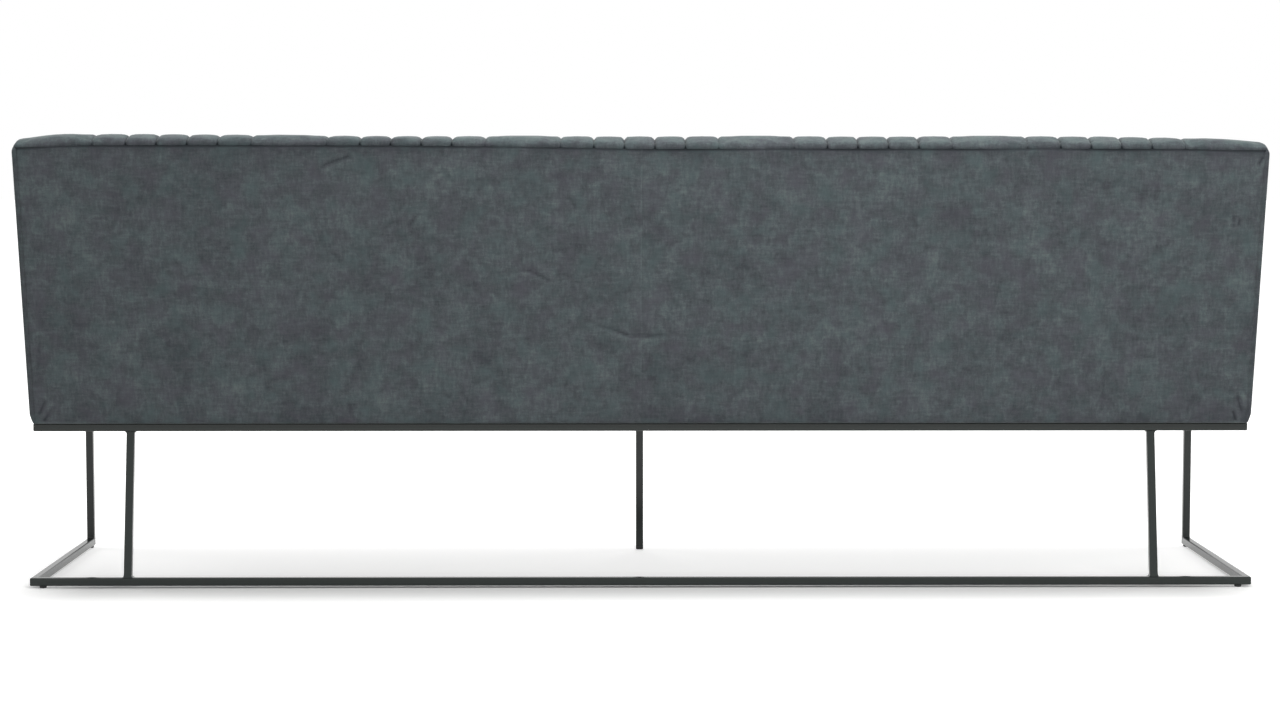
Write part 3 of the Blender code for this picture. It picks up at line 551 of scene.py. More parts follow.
def swell(piece, held, recipe):
    mesh = piece.data
    before = np.empty(len(mesh.vertices) * 3)
    mesh.vertices.foreach_get("co", before)
    group = piece.vertex_groups.new(name="stitched")
    for index, weight in enumerate(held):
        if weight > 0.0:
            group.add([index], weight, "REPLACE")
    cloth = piece.modifiers.new("swell", "CLOTH")
    settings = cloth.settings
    settings.quality = coverCloth["quality"]
    settings.mass = coverCloth["mass"]
    settings.tension_stiffness = recipe["stretch"]
    settings.compression_stiffness = recipe["stretch"]
    settings.shear_stiffness = recipe["stretch"] * coverCloth["shear"]
    settings.bending_stiffness = recipe["bend"]
    settings.air_damping = coverCloth["airDamping"]
    settings.vertex_group_mass = "stitched"
    settings.use_pressure = True
    settings.uniform_pressure_force = recipe["pressure"]
    settings.shrink_min = -recipe["ease"]
    settings.effector_weights.gravity = 0.0
    cloth.collision_settings.use_collision = False
    cloth.point_cache.frame_start = 1
    cloth.point_cache.frame_end = recipe["steps"]
    for step in range(1, recipe["steps"] + 1):
        scene.frame_set(step)
    swollen = piece.evaluated_get(bpy.context.evaluated_depsgraph_get())
    after = np.empty_like(before)
    swollen.data.vertices.foreach_get("co", after)
    piece.modifiers.remove(cloth)
    piece.vertex_groups.clear()
    scene.frame_set(1)
    before = before.reshape(-1, 3)
    moved = after.reshape(-1, 3) - before
    length = np.maximum(np.linalg.norm(moved, axis=1), 1e-9)
    kept = recipe["cap"] * np.tanh(length / recipe["cap"]) / length  # no point moves further than the cap
    mesh.vertices.foreach_set("co", (before + moved * kept[:, None]).ravel())
    mesh.update()
    print(piece.name, "swelled by up to", round(float((length * kept).max()) * 1000, 1), "mm")


def sewCover(name, material, cells, place, recipe=None):
    bm = bmesh.new()
    bmesh.ops.create_grid(bm, x_segments=cells[0], y_segments=cells[1], size=0.5)
    number = bm.verts.layers.int.new("number")
    # the pile attribute carries painted highlights and painted shade
    pile = bm.verts.layers.float.new("pile")
    inside = []
    held = []
    for index, vertex in enumerate(bm.verts):
        vertex[number] = index
        # the outer and inner spot, how firmly it is stitched, and the painted light and shade on its pile
        outerPoint, innerPoint, hold, vertex[pile] = place(vertex.co.x + 0.5, vertex.co.y + 0.5)
        vertex.co = outerPoint
        inside.append(innerPoint)
        held.append(hold)
    bm.normal_update()
    facing = sum(f.normal.dot(f.verts[0].co - inside[f.verts[0][number]]) for f in bm.faces)
    if facing < 0.0:
        bmesh.ops.reverse_faces(bm, faces=bm.faces)
    piece = keepMesh(name, bm, material)
    if recipe:
        swell(piece, held, recipe)
    bm = bmesh.new()
    bm.from_mesh(piece.data)
    number = bm.verts.layers.int["number"]
    made = bmesh.ops.extrude_face_region(bm, geom=bm.faces[:], use_keep_orig=True)["geom"]
    lining = {v for v in made if isinstance(v, bmesh.types.BMVert)}
    for vertex in lining:
        vertex.co = inside[vertex[number]]
    bmesh.ops.recalc_face_normals(bm, faces=bm.faces)
    bm.verts.layers.int.remove(number)
    bm.to_mesh(piece.data)
    bm.free()
    piece.data.set_sharp_from_angle(angle=math.radians(sharpAngle))
    return piece


# The rear panel, in two halves that meet in the seam at mid-length

rearPanel = {
    "cells": (330, 148),
    "crowding": 0.3,
    "sideInset": 0.0045,  # the ends of the back show this much of their own cover
    "overlap": 0.00005,  # each half runs this far past the middle
    "edgeRoll": 0.005,
    "topRoll": 0.0042,
    "footRoll": 0.009,
    "seamRoll": 0.0010,
    "seamDepth": 0.3,
    "thinnest": 0.12,  # share of the cover's thickness that is left at its edges
    "hem": 0.0075,  # how far the foot is turned under
    "slack": 0.0009,  # height of the slow swells in the cloth
    "swellSize": 0.17,
    "calm": 0.03,  # edge over which the swells die down
    # painted light and shade in the pile: strength, below zero for painted shade, width and distance from the
    # edge
    "underSeamShadow": (-1.0, 0.012, 0.0),
    "topSeamShade": (-0.9, 0.0032, 0.0),
    "footShade": (-0.24, 0.03, 0.0),
    "paintedMiddleSeam": (0.45, 0.0018, 0.0),
    "cornerHemHighlight": (0.6, 0.0035, 0.0),
    "cornerReach": (0.95, 1.1),
    "sideEdgeShade": (-0.3, 0.004, 0.0),
    # folds that handling has left: points (x, up) along each, its depth and its width
    "creases": (
        (((0.2305, 0.2945), (0.205, 0.2925), (0.185, 0.282), (0.165, 0.274)), 0.0013, 0.0032),
        (((0.100, 0.195), (0.051, 0.181), (0.022, 0.169), (-0.020, 0.169), (-0.075, 0.176)), 0.0010, 0.0034),
        (((0.589, 0.480), (0.555, 0.494), (0.520, 0.504)), 0.0012, 0.0042),
        (((0.427, 0.373), (0.406, 0.402)), 0.0010, 0.0036),
        (((-1.121, 0.492), (-1.131, 0.510)), 0.0006, 0.0034),
        (((-1.081, 0.396), (-1.084, 0.372)), 0.0009, 0.0032),
        (((-1.094, 0.391), (-1.092, 0.374)), 0.0008, 0.0032),
        (((1.112, 0.003), (1.100, 0.024)), 0.0010, 0.0036),
        (((1.121, 0.014), (1.104, 0.050)), 0.0008, 0.004),
        (((-1.110, 0.003), (-1.101, 0.028)), 0.0010, 0.0036),
        (((-1.120, 0.018), (-1.108, 0.058)), 0.0008, 0.004),
    ),
    "creaseReach": 5.0,  # in widths of the crease, as are the next two
    "ridgeWidth": 1.5,
    "ridgeOffset": 2.2,
    "ridgeShare": 0.7,
    "creaseEnds": (0.22, 0.78),  # shares of its length between which it is at its full depth
}


def creasesAt(x, up):
    fold, shade = 0.0, 0.0
    for path, depth, width in rearPanel["creases"]:
        reach = rearPanel["creaseReach"] * width
        ends = sorted((path[0][0], path[-1][0]))
        if not ends[0] - reach < x < ends[1] + reach:
            continue
        nearest = None
        for number, (start, end) in enumerate(zip(path, path[1:])):
            runX, runUp = end[0] - start[0], end[1] - start[1]
            length = math.hypot(runX, runUp)
            share = ((x - start[0]) * runX + (up - start[1]) * runUp) / length ** 2
            share = min(max(share, 0.0), 1.0)
            offX, offUp = x - start[0] - share * runX, up - start[1] - share * runUp
            distance = math.hypot(offX, offUp)
            if nearest is None or distance < nearest[0]:
                side = math.copysign(1.0, runX * offUp - runUp * offX)
                nearest = (distance, side, (number + share) / (len(path) - 1))
        distance, side, along = nearest
        if distance > reach:
            continue
        full, fading = rearPanel["creaseEnds"]
        strength = fade(0.0, full, along) * (1.0 - fade(fading, 1.0, along))
        ridgeShape = (1.0, rearPanel["ridgeWidth"] * width, rearPanel["ridgeOffset"] * width)
        groove = hump((1.0, width, 0.0), distance)
        ridge = hump(ridgeShape, distance * side)
        fold += depth * strength * (groove - rearPanel["ridgeShare"] * ridge)
        # painted shade in the groove of each crease and a painted highlight on its ridge
        shade += strength * (0.35 * ridge - 0.75 * groove)
    return fold, shade


def makeRearPanels(cloth):
    calm = rearPanel["calm"]
    overlap = rearPanel["overlap"]
    for name, side in sides:

        def place(a, b, side=side):
            up = crowdEdges(b, rearPanel["crowding"]) * backHeight
            wide = halfWidth(up) - rearPanel["sideInset"]
            x = side * (crowdEdges(a, rearPanel["crowding"]) * (wide + overlap) - overlap)
            below = backHeight - up
            beside = wide - abs(x)
            lift = rolled(beside, rearPanel["edgeRoll"]) * rolled(up, rearPanel["footRoll"])
            lift *= rolled(below, rearPanel["topRoll"])
            lift *= 1.0 - rearPanel["seamDepth"] * (1.0 - rolled(abs(x), rearPanel["seamRoll"]))
            depth = body["rearCover"] * (1.0 - max(lift, rearPanel["thinnest"]))
            still = fade(0.0, calm, beside) * fade(0.0, calm, up) * fade(0.0, calm, below)
            fold, shade = creasesAt(x, up)
            depth += fold - rearPanel["slack"] * still * (0.6 + wave(x, up, rearPanel["swellSize"], 3.0))
            # the painted shadow under the top seam and the painted highlight on the middle seam are uneven
            shade += hump(rearPanel["underSeamShadow"], below) * (0.45 + 0.5 * wave(x, 0.0, 0.16, 8.0))
            # painted shade in the top seam and towards the foot
            shade += hump(rearPanel["topSeamShade"], below) + hump(rearPanel["footShade"], up)
            shade += hump(rearPanel["paintedMiddleSeam"], x) * (0.6 + wave(0.0, up, 0.07, 6.0))
            # a painted highlight along the hem near the corners, painted shade along the side edges
            shade += hump(rearPanel["cornerHemHighlight"], up) * fade(*rearPanel["cornerReach"], abs(x))
            shade += hump(rearPanel["sideEdgeShade"], beside)
            under = body["rearCover"] + (rearPanel["hem"] if b == 0.0 else 0.0)
            up += topLift(x, 0.0, up)
            return backPoint(x, depth, up), backPoint(x, under, up), 0.0, shade

        panel = sewCover(f"{name}RearPanel", cloth, rearPanel["cells"], place)
        mount(panel, "velvet", f"{name}_outside_back_cover")
    print("rear panels sewn")


# The quilted back, from the rear seam over the top and down to the seat

quilt = {
    "narrow": 0.0555,
    "narrowCount": 3,
    "groupEnd": 0.0605,
    "wide": 0.137,
    "groups": 5,
    "shift": 0.004,  # the whole quilting sits this far off the middle
    "shoulder": (0.0075, 0.0125),  # over which a channel rounds down to its stitch line, on top and in front
    "topToFront": (0.05, 0.12),  # along the pad, where the one passes into the other
    "pull": 2.2,  # how sharply a channel rounds down
    "groupEndDepth": 0.62,  # the last stitch line of a group is pulled less
    "wideFill": 0.1,  # how much fuller the wide channels are
    "wideReach": (0.02, 0.045),
    "rearThin": 0.2,  # how much thinner the quilt is at the rear seam
    "rearReach": (0.006, 0.03),
    "rearRoll": 0.012,
    "rearLeast": 0.3,
    "sideGap": 0.0005,
    "endFall": 0.075,  # over which the channels sink towards each end
    "endSink": 0.4,
    "endRoll": 0.012,
    "endLeast": 0.08,
    "endClose": 0.004,  # the last of each end closes on the side covers
    "under": (0.0005, -0.0012),  # lining over the pad, and where it closes
    "tuck": 0.0035,  # how far the rear edge runs below the top of the rear panel
    "cell": 0.0052,
    "crowding": 0.62,
    "rearRows": (0.045, 0.0018),  # length along the pad with close rows, and their spacing
    "frontRows": 84,
    "loose": 0.85,  # fullness before the cloth swells to the rest
    "stitchShade": -1.0,
    "topHighlight": 0.4,
    "rearSeamShade": (-1.0, 0.0055, 0.0),
    "recipe": {"pressure": 4.0, "stretch": 14.0, "bend": 0.25, "ease": 0.015, "cap": 0.0022, "steps": 16},
}


def stitchLines():
    channels = [quilt["groupEnd"]] + [quilt["narrow"]] * quilt["narrowCount"] + [quilt["groupEnd"]]
    pitch = sum(channels) + quilt["wide"]
    lines = []
    for group in range(quilt["groups"]):
        place = (group - (quilt["groups"] - 1) / 2) * pitch - sum(channels) / 2 + quilt["shift"]
        depths = [quilt["groupEndDepth"]] + [1.0] * (len(channels) - 1) + [quilt["groupEndDepth"]]
        for depth, step in zip(depths, [0.0] + channels):
            place += step
            lines.append((place, depth))
    return lines


def padLine():
    # points (inward, up) and outward directions along the pad under the quilt, closer together on its rear
    raw = [(body["crest"] - body["rearRound"], backHeight - quilt["tuck"])]
    for turn in np.radians(np.linspace(0.0, 90.0, 16)):
        across, rise = math.cos(turn), math.sin(turn)
        raw.append((body["crest"] - body["rearRound"] * across, backHeight + body["rearRise"] * rise))
    raw.extend(crownPoint(turn) for turn in np.radians(np.linspace(4.0, 90.0, 30)))
    raw.append((body["quiltRear"], padFoot))
    raw = np.array(raw)
    run = lengthAlong(raw)
    rear, spacing = quilt["rearRows"]
    steps = np.concatenate((np.arange(0.0, rear, spacing), np.linspace(rear, run[-1], quilt["frontRows"])))
    inward = np.interp(steps, run, raw[:, 0])
    up = np.interp(steps, run, raw[:, 1])
    slopeIn = np.gradient(inward, steps)
    slopeUp = np.gradient(up, steps)
    for smoothing in range(3):  # softens the turn at the rear seam
        slopeIn[1:-1] = (slopeIn[:-2] + 2.0 * slopeIn[1:-1] + slopeIn[2:]) / 4.0
        slopeUp[1:-1] = (slopeUp[:-2] + 2.0 * slopeUp[1:-1] + slopeUp[2:]) / 4.0
    size = np.hypot(slopeIn, slopeUp)
    return steps, inward, up, -slopeUp / size, slopeIn / size


def quiltColumns(lines):
    bounds = [-halfTop] + [place for place, depth in lines] + [halfTop]
    xs = [bounds[0]]
    stitched = [True]
    for start, end in zip(bounds, bounds[1:]):
        count = 2 * max(4, round((end - start) / quilt["cell"] / 2.0))
        for step in range(1, count + 1):
            xs.append(start + crowdEdges(step / count, quilt["crowding"]) * (end - start))
            stitched.append(step == count)
    return xs, stitched


def makeQuilt(cloth):
    lines = stitchLines()
    xs, stitched = quiltColumns(lines)
    steps, inward, up, normalIn, normalUp = padLine()
    columns, rows = len(xs) - 1, len(steps) - 1
    seatUp = upAt(seatLow.z, 0.0)
    fullness = quilt["loose"]
    onTop, inFront = quilt["shoulder"]

    def place(a, b):
        column, row = round(a * columns), round(b * rows)
        run = steps[row]
        wide = halfWidth(min(up[row], backHeight)) - quilt["sideGap"]
        x = xs[column] * wide / halfTop
        beside = wide - abs(x)
        forward = fade(*quilt["topToFront"], run)
        shoulder = onTop + (inFront - onTop) * forward
        share, nearest = 1.0, 1.0
        for line, depth in lines:
            near = abs(xs[column] - line)
            nearest = min(nearest, near)
            if near < shoulder:
                share = min(share, 1.0 - depth * (1.0 - near / shoulder) ** quilt["pull"])
        fuller = 1.0 + quilt["wideFill"] * fade(*quilt["wideReach"], nearest)
        thick = body["stitch"] + (body["quilt"] - body["stitch"]) * share * fullness
        thick *= 1.0 - quilt["rearThin"] * (1.0 - fade(*quilt["rearReach"], run))
        thick *= max(rolled(run, quilt["rearRoll"]), quilt["rearLeast"]) * fuller
        # painted shade in the stitch lines and at the rear seam, a painted highlight over the top of the
        # channels
        shade = quilt["stitchShade"] * (1.0 - share) ** 2 + quilt["topHighlight"] * (1.0 - forward) * share
        shade += hump(quilt["rearSeamShade"], run)
        free = fade(seatUp, seatUp + 0.02, up[row])  # below the seat the ends are pressed flat
        thick *= 1.0 - quilt["endSink"] * free * (1.0 - fade(0.0, quilt["endFall"], beside))
        thick *= 1.0 - free * (1.0 - max(rolled(beside, quilt["endRoll"]), quilt["endLeast"]))
        lift = topLift(x, inward[row], up[row])
        outer = backPoint(x, inward[row] + normalIn[row] * thick, up[row] + normalUp[row] * thick + lift)
        under = quilt["under"][0 if beside > quilt["endClose"] else 1]
        inner = backPoint(x, inward[row] + normalIn[row] * under, up[row] + normalUp[row] * under + lift)
        edge = row in (0, 1, rows) or column in (0, 1, columns - 1, columns)
        return outer, inner, 1.0 if edge or stitched[column] else 0.0, shade

    piece = sewCover("quiltedBack", cloth, (columns, rows), place, quilt["recipe"])
    mount(piece, "velvet", "back_cover")
    print("back quilted,", columns, "by", rows, "cells")


# The ends of the back, with a rolled edge that shows from behind

backEnd = {
    "cells": (44, 140),
    "crowding": (0.7, 0.6),
    "rear": 0.0008,
    "rearRoll": 0.0055,
    "frontRoll": 0.0028,
    "footRoll": 0.009,
    "thinnest": 0.1,
    "topDrop": 0.004,  # where the rear edge starts to round, below the rear seam
    "topRise": 0.0035,
    "step": (0.003, 0.007),  # above the seat, where the front edge steps back behind the quilt
    "bulge": 0.0022,
    "bulgeReach": (0.045, 0.05),  # from the edges and from the foot
    "swellSize": 0.08,
    "thick": 0.0058,
    "sideGap": 0.0005,
    "wrap": 0.0033,  # the padding stands this far proud of the carcass
    "wrapFoot": (0.004, 0.02),  # where it starts, above the foot
    "wrapTop": (-0.009, 0.006),  # where it ends, from the rear seam
    "rearEdgeHighlight": (0.35, 0.004, 0.005),
    "edgeShade": (-0.35, 0.003, 0.0),
}


def makeBackEnds(cloth):
    drop = math.tan(body["lean"])  # the foot is level, the back leans
    rear = backEnd["rear"]
    roundUp = backHeight - backEnd["topDrop"]
    rearEdge = [(rear, -rear * drop), (rear, roundUp)]
    for turn in np.radians(np.linspace(20.0, 86.0, 6)):
        rise = (body["rearRise"] + backEnd["topRise"]) * math.sin(turn)
        rearEdge.append((body["crest"] - (body["crest"] - rear) * math.cos(turn), roundUp + rise))
    front = body["quiltRear"] + body["quilt"]
    stepLow, stepHigh = (padFoot + height for height in backEnd["step"])
    frontEdge = [(front, -front * drop), (front, stepLow), (body["quiltRear"], stepHigh)]
    frontEdge.append((body["quiltRear"], springUp))
    frontEdge.extend(crownPoint(turn) for turn in np.radians(np.linspace(88.0, 6.0, 16)))
    runs = []
    for edge in (rearEdge, frontEdge):
        points = np.array(edge)
        run = lengthAlong(points)
        runs.append((points, run / run[-1]))

    for name, side in sides:

        def place(a, b, side=side):
            level = crowdEdges(b, backEnd["crowding"][1])
            ends = [
                (np.interp(level, run, points[:, 0]), np.interp(level, run, points[:, 1]))
                for points, run in runs
            ]
            along = crowdEdges(a, backEnd["crowding"][0])
            inward = ends[0][0] + (ends[1][0] - ends[0][0]) * along
            up = ends[0][1] + (ends[1][1] - ends[0][1]) * along
            span = math.dist(ends[0], ends[1])
            near = min(along, 1.0 - along) * span
            above = up * leanCosine + inward * leanSine
            lift = rolled(along * span, backEnd["rearRoll"])
            lift *= rolled((1.0 - along) * span, backEnd["frontRoll"])
            lift = max(lift * rolled(above, backEnd["footRoll"]), backEnd["thinnest"])
            fromEdge, fromFoot = backEnd["bulgeReach"]
            swellOut = backEnd["bulge"] * fade(0.0, fromEdge, near) * fade(0.0, fromFoot, above)
            swellOut *= 0.8 + 0.5 * wave(inward, up, backEnd["swellSize"], 9.0 + side)
            foot = halfWidth(up) - backEnd["thick"] - backEnd["sideGap"]
            ending = 1.0 - fade(*backEnd["wrapTop"], up - backHeight)
            swellOut += backEnd["wrap"] * lift * fade(*backEnd["wrapFoot"], above) * ending
            top = foot + backEnd["thick"] * lift + swellOut
            up += topLift(side * top, inward, up)
            # a painted highlight just in from the rear edge and painted shade along both edges
            shade = hump(backEnd["rearEdgeHighlight"], along * span) + hump(backEnd["edgeShade"], near)
            return backPoint(side * top, inward, up), backPoint(side * foot, inward, up), 0.0, shade

        panel = sewCover(f"{name}BackEnd", cloth, backEnd["cells"], place)
        mount(panel, "velvet", f"{name}_back_side_cover")
    print("ends of the back sewn")


# The seat: a border round three sides and a padded cover sewn on top of it

seat = {
    "corner": 0.014,
    "edge": 0.020,
    "crown": 0.012,
    "seamRoll": 0.0045,
    "rearGap": 0.0004,
    # the border
    "frontCells": 520,
    "sideCells": 110,
    "borderRows": 40,
    "borderCrowding": (0.85, 0.72),
    "seamLap": 0.0006,  # how far it runs up behind the seam
    "lap": 0.004,  # how far its front runs past the corners, and how far its sides stop short of the back
    "joint": 0.0002,
    "joinRoll": 0.0022,
    "middleRoll": 0.0018,
    "footRoll": 0.008,
    "thinnest": 0.12,
    "bulge": 0.0022,
    "bulgeEnds": 0.03,
    "swellSize": 0.14,
    "tuck": (0.002, 0.0014),  # the last of each side closes on the back's end, by this much
    "borderHighlight": (0.3, 0.005, 0.007),
    "borderSeamShade": (-0.5, 0.003, 0.0),
    # the cover
    "cells": (320, 84),
    "crowding": (0.35, 0.4),
    "lining": 0.005,
    "seamPull": 0.85,
    "seamStart": 0.0008,
    "middleReach": 0.012,
    "middlePull": 0.5,
    "heldEdge": 0.004,
    "topHighlight": (0.3, 0.014, 0.026),
    "topSeamShade": (-0.5, 0.004, 0.0),
    "paintedMiddleSeam": (-0.5, 0.004, 0.0),
    "recipe": {"pressure": 4.0, "stretch": 14.0, "bend": 0.4, "ease": 0.012, "cap": 0.007, "steps": 20},
}
seatSeam = seatLow.z
seatRear = body["quiltRear"] + body["quilt"] + seat["rearGap"]


def rimPoint(run, inset):
    # a point on the outline of the seat, at a distance along it from the middle of the front
    straight = halfFoot - seat["corner"]
    bend = seat["corner"] * math.pi / 2.0
    side = 1.0 if run >= 0.0 else -1.0
    rest = abs(run) - straight
    if rest <= 0.0:
        return run, borderLow.y + inset
    if rest <= bend:
        turn = rest / seat["corner"]
        reach = seat["corner"] - inset
        return (side * (straight + reach * math.sin(turn)),
                borderLow.y + seat["corner"] - reach * math.cos(turn))
    return side * (halfFoot - inset), borderLow.y + seat["corner"] + rest - bend


def makeBorders(cloth):
    bottom, top = borderLow.z, seatSeam + seat["seamLap"]
    joint, lap = seat["joint"], seat["lap"]
    turnEnd = halfFoot - seat["corner"] + seat["corner"] * math.pi / 2.0 + lap
    sideLength = backPlaneY(seatRear, bottom) - borderLow.y - seat["corner"] - lap
    spans = {
        "seatFrontBorder": ("seat_front_border", -turnEnd, turnEnd, seat["frontCells"]),
        "seatLeftBorder": ("seat_left_border", -turnEnd - sideLength, -turnEnd - joint, seat["sideCells"]),
        "seatRightBorder": ("seat_right_border", turnEnd + joint, turnEnd + sideLength, seat["sideCells"]),
    }
    for name, (node, start, end, columns) in spans.items():

        def place(a, b, start=start, end=end):
            level = crowdEdges(b, seat["borderCrowding"][1])
            z = bottom + level * (top - bottom)
            reach = crowdEdges(a, seat["borderCrowding"][0])
            run = start + reach * (end - start)
            limit = turnEnd + backPlaneY(seatRear, z) - borderLow.y - seat["corner"] - lap
            if abs(run) > turnEnd:  # side borders end along the leaning back
                run = math.copysign(turnEnd + (abs(run) - turnEnd) * (limit - turnEnd) / sideLength, run)
            ends = min(reach, 1.0 - reach) * (end - start)
            lift = rolled(top - z, seat["seamRoll"]) * rolled(z - bottom, seat["footRoll"])
            lift *= rolled(ends, seat["joinRoll"])
            if start < 0.0 < end:  # the seam at the middle of the front
                lift *= rolled(abs(run) + joint, seat["middleRoll"])
            lift = max(lift, seat["thinnest"])
            out = seat["bulge"] * math.sin(math.pi * level) * fade(0.0, seat["bulgeEnds"], ends)
            out *= 0.85 + 0.5 * wave(run, z, seat["swellSize"], 5.0)
            outer = rimPoint(run, body["cover"] * (1.0 - lift) - out)
            last, closing = seat["tuck"]
            tucked = math.copysign(closing, run) if abs(run) > limit - last else 0.0
            inner = rimPoint(run + tucked, body["cover"])
            edge = min(top - z, ends)
            # a painted highlight near the top seam and the ends, painted shade right at them
            shade = hump(seat["borderHighlight"], edge) + hump(seat["borderSeamShade"], edge)
            return Vector((*outer, z)), Vector((*inner, z)), 0.0, shade

        border = sewCover(name, cloth, (columns, seat["borderRows"]), place)
        mount(border, "velvet", node)
    print("seat borders sewn")


def seatPoint(across, deep, shrink):
    # across and deep are -1 to 1 over the whole cloth; shrink gives a layer under it
    halfX = halfFoot - shrink
    halfY = (backPlaneY(seatRear, seatSeam) - borderLow.y) / 2.0 - shrink
    edge = seat["edge"] - shrink
    topEdge = seatHigh.z - seat["crown"] - shrink
    wall = topEdge - edge - seatSeam
    arc = edge * math.pi / 2.0
    spans = (wall + arc + halfX - edge, wall + arc + halfY - edge)
    runs = (across * spans[0], deep * spans[1])
    rest = min(spans[0] - abs(runs[0]), spans[1] - abs(runs[1]))
    if rest < wall:
        inset, drop = 0.0, edge + wall - rest
    elif rest < wall + arc:
        turn = (rest - wall) / edge
        inset, drop = edge * (1.0 - math.cos(turn)), edge * (1.0 - math.sin(turn))
    else:
        inset, drop = edge + rest - wall - arc, 0.0
    x = runs[0] / max(spans[0] - rest, 1e-6) * (halfX - inset)
    y = runs[1] / max(spans[1] - rest, 1e-6) * (halfY - inset)
    corner = max(seat["corner"] - shrink + edge * fade(wall, wall + arc, rest) - inset, 0.001)
    overX = abs(x) - (halfX - inset - corner)
    overY = abs(y) - (halfY - inset - corner)
    if overX > 0.0 and overY > 0.0:
        scale = max(overX, overY) / math.hypot(overX, overY)
        x = math.copysign(halfX - inset - corner + overX * scale, x)
        y = math.copysign(halfY - inset - corner + overY * scale, y)
    crown = seat["crown"] * (1.0 - (x / halfX) ** 6) * (1.0 - abs(y / halfY) ** 2.6)
    z = topEdge - drop + crown * (1.0 - fade(0.0, edge, drop))
    share = (y + halfY) / (2.0 * halfY)
    front = borderLow.y + shrink
    rear = backPlaneY(seatRear + shrink, z)
    return Vector((x, front + share * (rear - front), z)), rest


def makeSeatCover(cloth):
    columns = seat["cells"][0]

    def place(a, b):
        across = 2.0 * crowdEdges(a, seat["crowding"][0]) - 1.0
        deep = 2.0 * crowdEdges(b, seat["crowding"][1]) - 1.0
        outer, rest = seatPoint(across, deep, 0.0)
        inner = seatPoint(across, deep, seat["lining"])[0]
        pull = 1.0 - rolled(rest + seat["seamStart"], seat["seamRoll"])
        outer = outer.lerp(inner, seat["seamPull"] * pull)
        seam = 1.0 - fade(0.0, seat["middleReach"], abs(outer.x))
        outer = outer.lerp(inner, seat["middlePull"] * seam)
        held = rest < seat["heldEdge"] or round(a * columns) == columns // 2
        # a painted highlight on the top near its rim, painted shade at the rim's seam and along the middle
        # seam
        shade = hump(seat["topHighlight"], rest) + hump(seat["topSeamShade"], rest) + hump(seat["paintedMiddleSeam"], outer.x)
        return outer, inner, 1.0 if held else 0.0, shade

    piece = sewCover("seatCover", cloth, seat["cells"], place, seat["recipe"])
    mount(piece, "velvet", "seat_cover")
    print("seat cover sewn")


# What the covers hide: foam, felt, straps and the dust cloth

inside = {
    "seatFoamUnder": 0.0066,  # foam below the outside of the seat cover
    "backFoamUnder": 0.0012,  # foam inside the pad's line
    "strap": 0.060,
    "strapThick": 0.0012,
    "strapGap": 0.0013,  # straps behind the back's foam
    "seatStraps": (11, 3),
    "backStraps": (11, 3),
    "weave": 0.0004,
    "feltInset": 0.0002,
    "feltRipple": 0.0002,
    "dustFaces": (0.0001, 0.0009),  # lower and upper face, above the underside of its solid
    "dustSag": 0.0022,
    "dustEdges": (0.06, 0.14, 0.84, 0.92),  # shares of its depth, held at both ends and free between
}


def makeFoams():
    foam = makeFinish("cutFoam")

    def placeSeat(a, b):
        across, deep = 2.0 * a - 1.0, 2.0 * b - 1.0
        outer = seatPoint(across, deep, inside["seatFoamUnder"])[0]
        front, rear = foamLow.y, backPlaneY(seatRear + inside["seatFoamUnder"], foamLow.z)
        return outer, Vector((across * foamHigh.x, front + b * (rear - front), foamLow.z)), 0.0, 0.0

    piece = sewCover("seatFoam", foam, (120, 40), placeSeat)
    mount(piece, "foam", "seat_foam")

    steps, inward, up, normalIn, normalUp = padLine()
    topRail = upAt(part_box("back_top_rail")[1].z, body["foamRear"])
    under = inside["backFoamUnder"]
    rows = 60

    def placeBack(a, b):
        row = min(round(b * rows) * 2 + 2, len(steps) - 1)
        x = (2.0 * a - 1.0) * foamHigh.x
        lift = min(topLift(x, inward[row], up[row]), 0.0)
        outer = backPoint(x, inward[row] - normalIn[row] * under, up[row] - normalUp[row] * under + lift)
        if up[row] > topRail and inward[row] < body["foamRear"]:
            return outer, backPoint(x, inward[row], topRail), 0.0, 0.0
        return outer, backPoint(x, body["foamRear"], min(up[row], topRail)), 0.0, 0.0

    piece = sewCover("backFoam", foam, (60, rows), placeBack)
    mount(piece, "foam", "back_foam")
    print("foam cut")


def layStraps(name, node, cloth, low, high, counts, toPlace):
    bm = bmesh.new()
    wide = inside["strap"]
    lengths = (high[0] - low[0], high[1] - low[1])
    for direction in (0, 1):
        across = 1 - direction
        count, crossings = counts[across], counts[direction]
        for strap in range(count):
            middle = low[across] + wide / 2 + strap * (lengths[across] - wide) / (count - 1)
            cells = bmesh.ops.create_grid(bm, x_segments=crossings * 6, y_segments=1, size=0.5)["verts"]
            for vertex in cells:
                along = low[direction] + (vertex.co.x + 0.5) * lengths[direction]
                turn = (along - low[direction] - wide / 2) / (lengths[direction] - wide)
                lift = inside["weave"] * math.cos(math.pi * (turn * (crossings - 1) + strap + direction))
                spot = [0.0, 0.0]
                spot[direction] = along
                spot[across] = middle + vertex.co.y * wide
                vertex.co = toPlace(spot[0], spot[1], lift)
    bmesh.ops.solidify(bm, geom=bm.faces[:], thickness=inside["strapThick"])
    bmesh.ops.recalc_face_normals(bm, faces=bm.faces)
    mount(keepMesh(name, bm, cloth, angle=40.0), "webbing", node)


def makeStraps():
    cloth = makeStrapCloth()
    low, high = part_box("seat_webbing")
    level = (low.z + high.z) / 2
    layStraps(
        "seatStraps", "seat_webbing", cloth, (low.x, low.y), (high.x, high.y), inside["seatStraps"],
        lambda x, y, lift: Vector((x, y, level + lift)),
    )
    bottom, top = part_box("back_webbing")
    inward = body["foamRear"] - inside["strapGap"]
    lowUp, highUp = upAt(bottom.z, inward), upAt(top.z, inward)
    layStraps(
        "backStraps", "back_webbing", cloth, (bottom.x, lowUp), (top.x, highUp), inside["backStraps"],
        lambda x, y, lift: backPoint(x, inward + lift, y),
    )
    print("straps laid")


